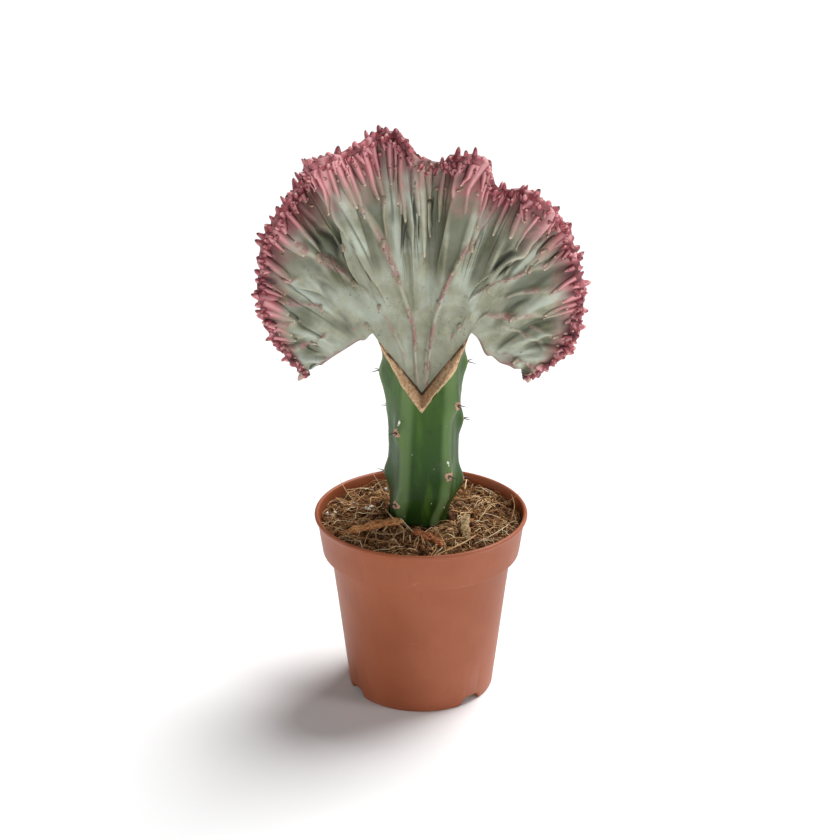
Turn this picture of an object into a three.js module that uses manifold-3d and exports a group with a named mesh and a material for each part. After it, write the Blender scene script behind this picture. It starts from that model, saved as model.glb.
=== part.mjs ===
// A potted coral euphorbia: a fan-shaped, ruffled crest grafted on a thorny green rootstock,
// in a thin plastic nursery pot full of coir substrate.
// Millimetres, +Z up. The origin is on the surface the pot stands on, under the middle of the pot.
// +X is to the right of the plant's front, and -Y is its front.
import * as THREE from "three";
import { mergeVertices } from "three/addons/utils/BufferGeometryUtils.js";
import Module from "manifold-3d";

const wasm = await Module();
wasm.setup();

// ---------- driving dimensions ----------

const GAP = 0.3; // clearance between pieces that touch

const POT = {
  rimRadius: 52.5,
  height: 93.4,
  bandFoot: 73, // height of the step under the rim band
  bandRadius: 48.8, // outside of the band at that step
  neckRadius: 44.6, // outside of the wall just under the step
  footRadius: 36.1,
  wall: 1.2,
  bead: 1.1, // half thickness of the rolled lip
  floorHeight: 4.5,
  footWidth: 2.4,
  sides: 64,
};
// Gaps moulded in the foot ring: the turn from the front, towards +X, of each one's middle.
const FOOT_GAPS = { turns: [43, 118, 223, 298], width: 14, slant: 3, height: 4, deep: 9 };
const DRAIN_HOLES = { count: 6, radius: 3.5, circle: 23, sides: 10 };

const SOIL = {
  edgeHeight: 86.3,
  moundHeight: 91.3,
  moundRadius: 26,
  lean: 0.09, // how much higher the mound is on the left, in millimetres for each millimetre
  rings: 9,
  sectors: 56,
  lump: 0.9,
  shuffle: 0.5, // how far the surface's points stray round their rings, in sectors
};
// Coarse coir fibres that arch out of the substrate behind and beside the stem.
const FIBRES = {
  count: 20,
  from: 65, // turns from the front between which they lie
  to: 290,
  inner: 24, // distances from the pot's axis between which they lie
  outer: 42,
  length: 15,
  rise: 2.6,
  radius: 0.45,
  sink: 1.4,
};

const STOCK = {
  axisX: 1.4,
  radius: 16.6,
  foot: 60, // lower end of the cutting, down in the substrate
  collar: 91.5, // below this height the cutting is plain and round
  baseX: -1.2,
  baseRadius: 14.2,
  spreadHeight: 16, // height over which the base widens to the full stem
  top: 188, // where the two ears of the graft notch end
  earReach: 23.6, // half width across the ears
  flareFrom: 150,
  ribs: 5,
  ribHeight: 0.9,
  ribTurn: 34, // turn of the front right rib at the collar
  turnPerMm: 0.15, // degrees the ribs twist for each millimetre up
  sides: 40,
  rings: 26,
};
// Thorny bumps on the ribs: [turn from the front towards +X in degrees, height].
const THORN_BUMPS = [
  [-43, 140.5], [-43, 102.5], [52, 154], [37, 118.5],
  [103, 170], [100, 141], [98, 109.5], [-103, 165.5],
  [-118, 145.5], [-97, 113.5], [176, 139], [180, 108],
  [-150, 124], [140, 128],
];
const THORN = {
  bump: 2.6,
  bumpWidth: 4.6,
  bumpStretch: 0.75, // under 1 draws the bumps out up and down the stem
  cushion: 1.7,
  cushionHeight: 1.1,
  length: 3.4,
  root: 0.55,
  spread: 28, // half the angle between a pair of spines
  sink: 1.5,
};

// The V-shaped notch that holds the crest: half angle by width and height, and the bevel in front.
const NOTCH = { apexX: 0.4, apex: 157.6, halfWidth: 23.4, rise: 30.2, flat: 6.8, bevel: 4.6, lining: 1.3 };

// The crest. Its growing edge runs from the left tip, over the top, to the right tip.
// Each point is [x, z, how far it is folded towards the front].
const EDGE = [
  [-54, 166.5, 3], [-63, 172.5, 1], [-70.5, 182, -3], [-73.8, 193, 0],
  [-75.6, 204, 3.5], [-75.6, 215, 0], [-74.2, 226, -3.5], [-71, 236.5, 0],
  [-66, 245, 2], [-60, 252.5, -5], [-52.5, 259, -12.5], [-46, 266, -11],
  [-47.5, 269, -2], [-52.5, 267, 7], [-52, 271, 15], [-43.5, 276, 16],
  [-35, 278.5, 9], [-27, 280.5, 4], [-19, 283.5, -1], [-12.5, 283.5, -4],
  [-9, 281.5, 2], [-4.5, 277.5, 6.5], [0.3, 272.5, 3], [3, 269, -5],
  [7.5, 267.5, -10], [12.5, 269, -5], [15, 270, 3], [18, 271.5, 11],
  [24.5, 272.5, 14], [31, 270, 8], [33.5, 265, -1], [38.5, 259.5, -6],
  [44, 258.5, -1], [48, 257.5, 8.5], [54.5, 252.5, 13.5], [58.5, 246, 7],
  [58.5, 243, -3], [62.5, 236.5, -9], [67.5, 229.5, -5], [70.8, 220, 2],
  [73.6, 209, -2], [74.6, 198, -3.5], [73.2, 187, 1], [69.5, 177.5, 3],
  [63, 170, -1], [53, 163.5, 1],
];
// The crest's lower outline: up the graft's V, then down the underside of each side lobe: [x, z].
const LOBE_FOOT = { left: [-47, 171.5], right: [44, 169.5], neckShare: 0.625 };
// Where the growth lines bend over, from the middle out to the tips: [x, z].
const SHOULDER = [[0, 205], [10, 206], [21, 208], [32, 205], [43, 190], [50, 170]];
const CREST = {
  middle: 0.5, // share of the edge's length that grows from the left half of the graft
  foldPower: 1.7, // how fast the folds deepen from the graft to the edge
  swayPower: 4, // how fast the folds lean over each other
  rootHalf: 6.4, // half thickness in the graft
  lobeHalf: 3.6, // half thickness at the underside of the lobes
  edgeHalf: 2.4, // half thickness at the growing edge
  thinning: 1.6, // how fast the thickness falls away from the graft
  evenSpan: 0.03, // share of the edge over which its leaning folds are evened out
  faceSpan: 0.013, // share of the edge over which a face's direction is measured
  uprightTo: 0.6, // share of the way to the edge where the faces still look straight ahead
  columns: 256,
  toothLength: 4.4,
  toothLean: 1.3,
  capHeight: 1.4,
  pleat: 0.7,
};
// Rows of the crest's faces: [share of the way from graft to edge, columns per quad].
const CREST_ROWS = [
  [0, 4], [0.06, 4], [0.2, 4], [0.35, 4], [0.5, 4], [0.62, 2], [0.73, 2], [0.83, 1], [0.92, 1], [1, 1],
];
// The thick ribs of each face: [share of the edge where it ends, where it starts, height].
const RIBS = [
  [0.1, 0.35, 0.8], [0.17, 0.3, 1.2], [0.285, 0.05, 1.6], [0.405, 0, 1.9],
  [0.5, 0, 0.8], [0.6, 0, 1.9], [0.725, 0.1, 1.5], [0.825, 0.25, 1.3], [0.9, 0.4, 0.9],
];
const RIB_WIDTH = 2.6;
// Horned knobs on those ribs, from a little way up each rib to where the edge's teeth begin.
const TUBERCLE = { spacing: 14.5, height: 2.6, radius: 1.25, sink: 1.6, first: 0.12, last: 0.88 };

// Loose bits of coir husk on the substrate: both ends as [x, y, z], then width and thickness.
const HUSKS = [
  [[-41, -15.5, 88.3], [-8.6, -18, 96.6], 6.5, 3.6],
  [[-4, -19, 93], [11, -33, 89.4], 5.2, 2.8],
  [[19.3, -26.5, 88.6], [23.3, -9, 96.2], 4.6, 2.4],
];

// ---------- materials ----------

const material = (color, roughness) => new THREE.MeshStandardMaterial({ color, roughness, metalness: 0 });
const MATERIALS = {
  plastic: material("#a8654a", 0.5),
  substrate: material("#6b4a30", 0.95),
  husk: material("#9a6236", 0.95),
  stock: material("#2f5a2c", 0.45),
  callus: material("#b48f68", 0.85),
  crest: material("#93a08c", 0.6),
};

// ---------- helpers ----------

// A closed geometry as a manifold-3d solid.
function solid(geometry) {
  const bare = geometry.clone();
  for (const name of Object.keys(bare.attributes)) if (name !== "position") bare.deleteAttribute(name);
  const merged = mergeVertices(bare, 1e-4);
  return new wasm.Manifold(new wasm.Mesh({
    numProp: 3,
    vertProperties: merged.attributes.position.array,
    triVerts: new Uint32Array(merged.index.array),
  }));
}

// A manifold-3d solid as a named mesh.
function piece(name, made, finish) {
  const { vertProperties, triVerts } = made.getMesh();
  const geometry = new THREE.BufferGeometry()
    .setAttribute("position", new THREE.BufferAttribute(vertProperties, 3))
    .setIndex(new THREE.BufferAttribute(triVerts, 1));
  geometry.computeVertexNormals();
  const mesh = new THREE.Mesh(geometry, finish);
  mesh.name = name;
  return mesh;
}

// A solid of points and triangles, turned right side out.
function solidOf(points, triangles) {
  const build = (list) => {
    const geometry = new THREE.BufferGeometry()
      .setAttribute("position", new THREE.Float32BufferAttribute(points.flatMap((p) => [p.x, p.y, p.z]), 3))
      .setIndex(list.flat());
    return solid(geometry);
  };
  const made = build(triangles);
  return made.volume() > 0 ? made : build(triangles.map(([a, b, c]) => [a, c, b]));
}

// A turned profile of [radius, height] points, standing on Z.
function turned(profile, sides) {
  const points = profile.map(([r, z]) => new THREE.Vector2(r, z));
  return solid(new THREE.LatheGeometry(points, sides).rotateX(Math.PI / 2));
}

const { clamp, smoothstep, lerp, degToRad: radians } = THREE.MathUtils;
// The point at a turn from the front towards +X, at a radius and a height.
const around = (turn, radius, z) =>
  new THREE.Vector3(radius * Math.sin(radians(turn)), -radius * Math.cos(radians(turn)), z);
// A repeatable number from 0 to 1 for each whole number.
const chance = (n) => THREE.MathUtils.euclideanModulo(Math.sin(n * 12.9898) * 43758.5453, 1);
const bell = (x) => Math.exp(-x * x);

// A cone with its middle `sink` below `at`, pointing along `direction`.
function cone(at, direction, length, radius, sink, sides = 4) {
  const geometry = new THREE.ConeGeometry(radius, length + sink, sides, 1);
  geometry.translate(0, (length - sink) / 2, 0);
  const up = new THREE.Vector3(0, 1, 0);
  const turn = new THREE.Quaternion().setFromUnitVectors(up, direction.clone().normalize());
  return solid(geometry.applyQuaternion(turn).translate(at.x, at.y, at.z));
}

// ---------- pot ----------

// Inner corners of the pot's wall, from just under the lip down to the floor: [radius, height].
const LINING = [
  [POT.rimRadius - POT.bead - POT.wall, POT.height - 3 * POT.bead],
  [POT.bandRadius - POT.wall, POT.bandFoot + POT.wall],
  [POT.neckRadius - POT.wall, POT.bandFoot],
  [POT.footRadius - POT.wall + 0.4, POT.floorHeight],
];

// The space of one gap in the foot ring, with slanted sides.
function footGap(turn) {
  const { width, slant, height, deep } = FOOT_GAPS;
  const half = width / 2;
  const corners = [[-half, -1], [half, -1], [half - slant, height], [slant - half, height]];
  const outline = new THREE.Shape(corners.map(([x, y]) => new THREE.Vector2(x, y)));
  const space = new THREE.ExtrudeGeometry(outline, { depth: deep, bevelEnabled: false });
  const middle = around(turn, POT.footRadius - deep / 2, 0);
  space.rotateX(Math.PI / 2).rotateZ(radians(turn)).translate(middle.x, middle.y, 0);
  return solid(space);
}

function pot() {
  const { rimRadius, height, bandFoot, bandRadius, neckRadius } = POT;
  const { footRadius, footWidth, floorHeight, wall, bead } = POT;
  let shell = turned([
    [0, floorHeight - wall],
    [footRadius - footWidth - 2, floorHeight - wall],
    [footRadius - footWidth, 0],
    [footRadius, 0],
    [neckRadius, bandFoot - 1],
    [bandRadius, bandFoot],
    [rimRadius - bead, height - 3 * bead],
    [rimRadius, height - 1.5 * bead],
    [rimRadius - 0.4 * bead, height - 0.3 * bead],
    [rimRadius - bead, height],
    [rimRadius - 1.9 * bead, height - 0.6 * bead],
    ...LINING,
    [0, floorHeight],
  ], POT.sides);
  for (const turn of FOOT_GAPS.turns) shell = shell.subtract(footGap(turn));
  const { count, radius, circle, sides } = DRAIN_HOLES;
  for (let k = 0; k < count; k++) {
    const at = around((k * 360) / count, circle, floorHeight);
    const hole = new THREE.CylinderGeometry(radius, radius, 4 * wall, sides);
    shell = shell.subtract(solid(hole.rotateX(Math.PI / 2).translate(at.x, at.y, at.z)));
  }
  return piece("pot", shell, MATERIALS.plastic);
}

// ---------- substrate ----------

// Height of the substrate: a low mound round the rootstock, with lumps that fade at the wall.
function soilHeight(x, y) {
  const r = Math.hypot(x, y);
  const { edgeHeight, moundHeight, moundRadius, lean, lump } = SOIL;
  const mound = (moundHeight - edgeHeight - lean * x) * bell((r - 8) / moundRadius);
  const lumps =
    Math.sin(0.42 * x + 1.1) * Math.cos(0.37 * y - 0.4) +
    0.6 * Math.sin(0.83 * x - 0.5 * y) * Math.cos(0.71 * y + 0.9) +
    0.4 * Math.sin(1.3 * x + 0.9 * y + 2);
  return edgeHeight + mound + lump * lumps;
}

function substrate() {
  const { rings, sectors, edgeHeight } = SOIL;
  const points = [new THREE.Vector3(0, 0, soilHeight(0, 0))];
  const [lip, ...lower] = LINING;
  const edge = lip[0] - 4 * GAP;
  for (let i = 1; i <= rings; i++)
    for (let k = 0; k < sectors; k++) {
      const stray = i < rings ? SOIL.shuffle * (chance(i * 91 + k) - 0.5) : 0;
      const p = around(((k + stray + (i % 2) / 2) * 360) / sectors, (edge * i) / rings, 0);
      points.push(p.setZ(i < rings ? soilHeight(p.x, p.y) : edgeHeight - chance(k)));
    }
  for (const [r, z] of lower)
    for (let k = 0; k < sectors; k++)
      points.push(around(((k + (rings % 2) / 2) * 360) / sectors, r - 2 * GAP, z + 2 * GAP));
  points.push(new THREE.Vector3(0, 0, POT.floorHeight + 2 * GAP));
  const at = (ring, k) => 1 + ring * sectors + (k % sectors);
  const triangles = [];
  for (let k = 0; k < sectors; k++) {
    triangles.push([0, at(0, k), at(0, k + 1)]);
    for (let ring = 0; ring < rings + 2; ring++) {
      triangles.push([at(ring, k), at(ring + 1, k), at(ring, k + 1)]);
      triangles.push([at(ring, k + 1), at(ring + 1, k), at(ring + 1, k + 1)]);
    }
    triangles.push([points.length - 1, at(rings + 2, k + 1), at(rings + 2, k)]);
  }
  return solidOf(points, triangles);
}

// One arched fibre, with both ends sunk in the substrate.
function fibre(_, k) {
  const { count, from, to, inner, outer, length, rise, radius, sink } = FIBRES;
  const turn = from + ((to - from) * (k + chance(k))) / count;
  const middle = around(turn, inner + (outer - inner) * chance(k + 50), 0);
  const way = around(360 * chance(k + 100), length / 2, 0);
  const [start, end] = [middle.clone().sub(way), middle.clone().add(way)];
  const reach = Math.max(start.length(), end.length());
  if (reach > outer + 3) for (const p of [start, end, middle]) p.multiplyScalar((outer + 3) / reach);
  for (const p of [start, end]) p.z = soilHeight(p.x, p.y) - sink;
  middle.z = soilHeight(middle.x, middle.y) + 2 * rise;
  const section = new THREE.Shape([0, 120, 240].map((a) =>
    new THREE.Vector2(radius * Math.cos(radians(a)), radius * Math.sin(radians(a)))));
  const extrudePath = new THREE.QuadraticBezierCurve3(start, middle, end);
  return solid(new THREE.ExtrudeGeometry(section, { steps: 5, bevelEnabled: false, extrudePath }));
}

// ---------- rootstock ----------

const stockGrowth = (z) => smoothstep(z, STOCK.collar, STOCK.collar + STOCK.spreadHeight);
const stockMiddle = (z) => lerp(STOCK.baseX, STOCK.axisX, stockGrowth(z));

// Radius of the rootstock at a turn from the front and a height, bumps and ears included.
function stockRadius(turn, z) {
  if (z <= STOCK.collar) return STOCK.baseRadius;
  const grow = stockGrowth(z);
  let r = STOCK.baseRadius + (STOCK.radius - STOCK.baseRadius) * grow;
  const twist = turn - STOCK.ribTurn - (z - STOCK.collar) * STOCK.turnPerMm;
  r += STOCK.ribHeight * grow * Math.cos(radians(STOCK.ribs * twist));
  const flare = smoothstep(z, STOCK.flareFrom, STOCK.top + 4);
  const side = Math.abs(Math.sin(radians(turn)));
  r += (STOCK.earReach - STOCK.radius) * flare * side ** 3;
  for (const [bumpTurn, bumpZ] of THORN_BUMPS) {
    const apart = THREE.MathUtils.euclideanModulo(turn - bumpTurn + 180, 360) - 180;
    const across = radians(apart) * STOCK.radius;
    r += THORN.bump * bell(Math.hypot(across, (z - bumpZ) * THORN.bumpStretch) / THORN.bumpWidth);
  }
  return r;
}

function stockBlank() {
  const { sides, rings, foot, collar, top } = STOCK;
  const heights = [foot, collar];
  for (let i = 1; i <= rings; i++) heights.push(collar + ((top - collar) * i) / rings);
  const points = [];
  for (const z of heights)
    for (let k = 0; k < sides; k++) {
      const turn = (k * 360) / sides;
      const p = around(turn, stockRadius(turn, z), z);
      points.push(p.setX(p.x + stockMiddle(z)));
    }
  const last = heights.length - 1;
  const at = (ring, k) => ring * sides + (k % sides);
  const triangles = [];
  for (let k = 0; k < sides; k++) {
    for (let ring = 0; ring < last; ring++) {
      triangles.push([at(ring, k), at(ring, k + 1), at(ring + 1, k)]);
      triangles.push([at(ring, k + 1), at(ring + 1, k + 1), at(ring + 1, k)]);
    }
    if (k > 0 && k < sides - 1) {
      triangles.push([at(0, 0), at(0, k + 1), at(0, k)]);
      triangles.push([at(last, 0), at(last, k), at(last, k + 1)]);
    }
  }
  return solidOf(points, triangles);
}

// The space above the graft's V: a prism along Y whose lower edge dips past the crest's faces.
function notchSpace(drop) {
  const { apexX, apex, halfWidth, rise, flat, bevel } = NOTCH;
  const slope = rise / halfWidth;
  const deep = 2 * STOCK.radius;
  const wide = 2 * STOCK.earReach;
  const points = [];
  for (const y of [-deep, -flat, flat, deep]) {
    const dip = drop + (Math.abs(y) > flat ? (bevel * (deep - flat)) / (STOCK.radius - flat) : 0);
    const z = apex - dip;
    points.push(
      new THREE.Vector3(apexX, y, z),
      new THREE.Vector3(apexX + wide, y, z + wide * slope),
      new THREE.Vector3(apexX - wide, y, z + wide * slope),
    );
  }
  const triangles = [[0, 1, 2], [9, 11, 10]];
  for (let s = 0; s < 3; s++)
    for (let k = 0; k < 3; k++) {
      const a = 3 * s + k;
      const b = 3 * s + ((k + 1) % 3);
      triangles.push([a, a + 3, b], [b, a + 3, b + 3]);
    }
  return solidOf(points, triangles);
}

// The thorns of one bump: a corky cushion and a pair of spines.
function thorns([turn, z]) {
  const base = around(turn, stockRadius(turn, z), z);
  base.x += stockMiddle(z);
  const out = around(turn, 1, 0);
  const parts = [cone(base, out, THORN.cushionHeight, THORN.cushion, THORN.sink, 6)];
  for (const side of [-1, 1]) {
    const way = around(turn + side * THORN.spread, 1, -0.15);
    parts.push(cone(base, way, THORN.length, THORN.root, THORN.sink, 3));
  }
  return parts;
}

// ---------- crest ----------

const edgeCurve = new THREE.CatmullRomCurve3(
  EDGE.map(([x, z, fold]) => new THREE.Vector3(x, -fold, z)), false, "catmullrom", 0.5);
edgeCurve.arcLengthDivisions = 2000;
const shoulderCurve = new THREE.CatmullRomCurve3(
  SHOULDER.map(([x, z]) => new THREE.Vector3(x, 0, z)), false, "catmullrom", 0.5);

// How far out from the middle a growth line starts, from -1 at the left tip to 1 at the right one.
const sideShare = (s) => (s - CREST.middle) / (s < CREST.middle ? CREST.middle : 1 - CREST.middle);

// The growing edge at s, with its leaning folds evened out where `sway` is less than 1.
function edgeAt(s, sway) {
  const at = (t) => edgeCurve.getPointAt(clamp(t, 0, 1));
  const even = new THREE.Vector3();
  for (const t of [-1, -0.5, 0, 0.5, 1]) even.addScaledVector(at(s + t * CREST.evenSpan), 1 / 5);
  return even.lerp(at(s), sway);
}

// Where a growth line starts on the crest's lower outline.
function rootAt(share) {
  const { apexX, apex, halfWidth, rise } = NOTCH;
  const { neckShare } = LOBE_FOOT;
  const side = Math.sign(share);
  const start = new THREE.Vector3(apexX, 0, apex + 1.6 * GAP);
  const neck = new THREE.Vector3(apexX + side * halfWidth, 0, start.z + rise);
  const [x, z] = share < 0 ? LOBE_FOOT.left : LOBE_FOOT.right;
  const far = Math.abs(share);
  if (far < neckShare) return start.lerp(neck, far / neckShare);
  return neck.lerp(new THREE.Vector3(x, 0, z), (far - neckShare) / (1 - neckShare));
}

// The middle of the crest's thickness: s runs along the growing edge, v from the graft to the edge.
function crestMiddle(s, v) {
  const share = sideShare(s);
  const bend = shoulderCurve.getPoint(Math.min(Math.abs(share), 1));
  bend.x *= Math.sign(share);
  const edge = edgeAt(s, v ** CREST.swayPower);
  const middle = rootAt(share).multiplyScalar((1 - v) ** 2);
  middle.addScaledVector(bend, 2 * v * (1 - v)).addScaledVector(edge, v * v);
  return middle.setY(edge.y * v ** CREST.foldPower);
}

// The crest's front direction and outward direction at (s, v).
function crestWays(s, v) {
  const { faceSpan, uprightTo } = CREST;
  const along = crestMiddle(Math.min(s + faceSpan, 1), v).sub(crestMiddle(Math.max(s - faceSpan, 0), v));
  const out = crestMiddle(s, v + 0.01).sub(crestMiddle(s, Math.max(v - 0.01, 0))).normalize();
  const front = new THREE.Vector3().crossVectors(along, out).normalize();
  front.lerp(new THREE.Vector3(0, -1, 0), 1 - smoothstep(v, uprightTo, 1)).normalize();
  return { front, out };
}

// Half the crest's thickness: full in the graft, rounded off under the lobes, thin at the edge.
function crestHalf(s, v) {
  const { rootHalf, lobeHalf, edgeHalf, thinning } = CREST;
  const lobe = smoothstep(Math.abs(sideShare(s)), LOBE_FOOT.neckShare - 0.05, LOBE_FOOT.neckShare + 0.2);
  const half = lerp(edgeHalf, lerp(rootHalf, lobeHalf, lobe), (1 - v) ** thinning);
  return v > 0 ? half : half * (1 - 0.5 * lobe);
}

// How far a face stands out over the smooth sheet: thick ribs, and pleats near the edge, one a column.
function crestRelief(s, v, column) {
  let height = 0;
  for (const [ends, starts, tall] of RIBS) {
    const wide = RIB_WIDTH * (0.35 + 0.65 * v);
    const across = (s - ends) * edgeCurve.getLength() * (0.25 + 0.75 * v);
    height = Math.max(height, tall * bell(across / wide) * smoothstep(v, starts, starts + 0.15));
  }
  const pleat = CREST.pleat * (column % 2 ? -1 : 1) * smoothstep(v, 0.5, 0.95);
  return v > 0 ? height * (1 - 0.5 * v) + pleat : 0;
}

function crestSheet() {
  const { columns, toothLength, toothLean } = CREST;
  const points = [];
  const add = (p) => points.push(p) - 1;
  const face = (side) => CREST_ROWS.map(([v, every]) => {
    const row = [];
    for (let i = 0; i <= columns; i += every) {
      const s = i / columns;
      const { front, out } = crestWays(s, v);
      const tooth = v === 1 && (i + (side > 0 ? 0 : 1)) % 2 === 0;
      const thick = crestHalf(s, v) + (tooth ? toothLean : crestRelief(s, v, i + (side > 0 ? 0 : 1)));
      const p = crestMiddle(s, v).addScaledVector(front, side * thick);
      if (tooth) p.addScaledVector(out, toothLength * (0.5 + 0.8 * chance(i + 7 * side)));
      row.push(add(p));
    }
    return row;
  });
  const cap = [];
  for (let i = 0; i <= columns; i++) {
    const { out } = crestWays(i / columns, 1);
    const rise = CREST.capHeight * (0.5 + chance(i + 300));
    cap.push(add(crestMiddle(i / columns, 1).addScaledVector(out, rise)));
  }
  const front = face(1);
  const back = face(-1);
  const loop = [...front, cap, ...back.reverse()];
  const triangles = [];
  loop.forEach((row, j) => stitch(row, loop[(j + 1) % loop.length], triangles));
  // The two side edges of the fan.
  for (const pick of [0, -1]) {
    const ring = loop.map((row) => row.at(pick));
    for (let a = 0, b = ring.length - 1; a < b - 1; a++, b--) {
      const add3 = (p, q, r) => triangles.push(pick ? [p, r, q] : [p, q, r]);
      add3(ring[a], ring[a + 1], ring[b]);
      if (a + 1 < b - 1) add3(ring[a + 1], ring[b - 1], ring[b]);
    }
  }
  return solidOf(points, triangles);
}

// Triangles between two rows, one of which may have twice the columns of the other.
function stitch(row, next, triangles) {
  if (row.length === next.length) {
    for (let i = 0; i + 1 < row.length; i++) {
      if (i % 2) triangles.push([row[i], row[i + 1], next[i]], [row[i + 1], next[i + 1], next[i]]);
      else triangles.push([row[i], row[i + 1], next[i + 1]], [row[i], next[i + 1], next[i]]);
    }
    return;
  }
  const coarse = row.length < next.length;
  const [few, many] = coarse ? [row, next] : [next, row];
  const add = (a, b, c) => triangles.push(coarse ? [a, b, c] : [a, c, b]);
  for (let i = 0; i + 1 < few.length; i++) {
    add(few[i], few[i + 1], many[2 * i + 1]);
    add(few[i], many[2 * i + 1], many[2 * i]);
    add(few[i + 1], many[2 * i + 2], many[2 * i + 1]);
  }
}

// Small horned knobs along the thick ribs of both faces.
function tubercles() {
  const knobs = [];
  RIBS.forEach(([ends, starts], rib) => {
    const length = crestMiddle(ends, 1).distanceTo(crestMiddle(ends, 0));
    for (let v = starts + TUBERCLE.first; v < TUBERCLE.last; v += TUBERCLE.spacing / length)
      for (const side of [-1, 1]) {
        const at = v + 0.05 * (chance(rib * 17 + v * 50 + side) - 0.5);
        const { front, out } = crestWays(ends, at);
        front.multiplyScalar(side);
        const skin = crestHalf(ends, at) + crestRelief(ends, at, 0) * 0.6;
        const base = crestMiddle(ends, at).addScaledVector(front, skin);
        front.addScaledVector(out, 0.5);
        knobs.push(cone(base, front, TUBERCLE.height, TUBERCLE.radius, TUBERCLE.sink));
      }
  });
  return knobs;
}

// ---------- husks ----------

function husk([from, to, width, thickness], index) {
  const [start, end] = [new THREE.Vector3(...from), new THREE.Vector3(...to)];
  const length = start.distanceTo(end);
  const shape = new THREE.SphereGeometry(0.5, 8, 8).rotateZ(Math.PI / 2).scale(length, width, thickness);
  const position = shape.attributes.position;
  for (let i = 0; i < position.count; i++) {
    const along = position.getX(i) / length;
    const ripple = 1 + 0.18 * Math.sin(21 * along + 2 * index);
    position.setY(i, position.getY(i) * ripple + 1.2 * Math.sin(5 * along));
    position.setZ(i, position.getZ(i) * ripple - 4 * along * along);
  }
  const way = end.clone().sub(start).normalize();
  const turn = new THREE.Quaternion().setFromUnitVectors(new THREE.Vector3(1, 0, 0), way);
  const middle = start.add(end).divideScalar(2);
  return solid(shape.applyQuaternion(turn).translate(middle.x, middle.y, middle.z));
}

// ---------- assembly ----------

const blank = stockBlank();
const opening = notchSpace(0);
const lined = notchSpace(NOTCH.lining);
const callus = blank.intersect(lined).subtract(opening);
const rootstock = wasm.Manifold.union([
  blank.subtract(notchSpace(NOTCH.lining + GAP)), ...THORN_BUMPS.flatMap(thorns),
]);

const crest = wasm.Manifold.union([crestSheet(), ...tubercles()]);

const stemHole = turned([
  [0, STOCK.foot - GAP], [STOCK.baseRadius + GAP, STOCK.foot - GAP],
  [STOCK.baseRadius + GAP, POT.height], [0, POT.height],
], STOCK.sides).translate([STOCK.baseX, 0, 0]);
const bareSoil = substrate().subtract(stemHole);
const soil = wasm.Manifold.union([bareSoil, ...Array.from({ length: FIBRES.count }, fibre)]);

const plant = new THREE.Group();
plant.add(
  pot(),
  piece("substrate", soil, MATERIALS.substrate),
  piece("rootstock", rootstock, MATERIALS.stock),
  piece("graft_callus", callus, MATERIALS.callus),
  piece("crest", crest, MATERIALS.crest),
);
const soilTop = bareSoil.translate([0, 0, GAP]);
HUSKS.forEach((shape, i) =>
  plant.add(piece(`coir_husk_${i + 1}`, husk(shape, i).subtract(soilTop), MATERIALS.husk)));

export default plant;
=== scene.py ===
"""A potted coral euphorbia: a ruffled crest grafted on a thorny green stem, in a plastic pot of coir.

Metres in Blender, millimetres in this file's own values; +Z up, and the plant's front looks along -Y.
"""
import math

import bpy
import numpy as np
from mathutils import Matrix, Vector


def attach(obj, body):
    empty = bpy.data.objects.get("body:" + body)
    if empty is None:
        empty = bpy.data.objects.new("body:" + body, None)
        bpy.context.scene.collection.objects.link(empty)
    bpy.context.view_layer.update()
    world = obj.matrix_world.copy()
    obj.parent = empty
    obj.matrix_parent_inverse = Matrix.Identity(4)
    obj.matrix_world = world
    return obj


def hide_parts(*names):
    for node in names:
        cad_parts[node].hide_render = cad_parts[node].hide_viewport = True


MM = 0.001
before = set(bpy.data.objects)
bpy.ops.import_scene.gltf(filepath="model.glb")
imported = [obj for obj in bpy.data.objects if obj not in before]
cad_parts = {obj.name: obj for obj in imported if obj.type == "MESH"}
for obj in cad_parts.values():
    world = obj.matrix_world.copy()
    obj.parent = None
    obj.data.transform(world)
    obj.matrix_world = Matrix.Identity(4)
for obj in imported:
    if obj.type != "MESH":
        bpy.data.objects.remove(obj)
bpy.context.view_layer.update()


def traced(*rows):
    """Rows whose first entry is a line over the crest, in thousandths: the place from graft to edge and the
    share along the edge, point after point. Turns each line into its (place, share) points."""
    return tuple((tuple((v / 1000, s / 1000) for v, s in zip(line[::2], line[1::2])), *rest)
                 for line, *rest in rows)


# ---------- sizes shared with the solids, in millimetres ----------

RIM_RADIUS = 52.5
POT_HEIGHT = 93.4
BAND_FOOT = 73.0
BAND_RADIUS = 48.8
NECK_RADIUS = 44.6
FOOT_RADIUS = 36.1
WALL = 1.2
BEAD = 1.1
FLOOR_HEIGHT = 4.5
FOOT_WIDTH = 2.4
FOOT_GAP_TURNS = (43, 118, 223, 298)
FOOT_GAP_WIDTH = 14.0
FOOT_GAP_SLANT = 3.0
FOOT_GAP_HEIGHT = 4.0
DRAIN_COUNT = 6
DRAIN_AT = 23.0
DRAIN_RADIUS = 3.5
# Rings of the floor's underside, over the drain holes. Points this near a hole's edge are moved onto it.
DRAIN_RINGS = np.arange(18.5, 27.6, 0.5)
DRAIN_SNAP = 0.27

SOIL_EDGE = 86.3
SOIL_MOUND = 91.3
SOIL_MOUND_RADIUS = 26.0
SOIL_LEAN = 0.09
SOIL_LUMP = 0.9
# Where the loose strands' middles lie, and how far out their ends reach.
STRAND_INNER = 17.5
STRAND_OUTER = 49.0
STRAND_LIMIT = 49.3

STEM_X = 1.4
STEM_RADIUS = 16.6
STEM_FOOT = 60.0
STEM_COLLAR = 91.5
STEM_BASE_X = -1.2
STEM_BASE_RADIUS = 14.2
STEM_SPREAD = 16.0
STEM_TOP = 188.0
EAR_REACH = 23.6
# The skin's green grows paler over this stretch of its height.
SHADE_FOOT = 88
SHADE_SPAN = 90
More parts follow.
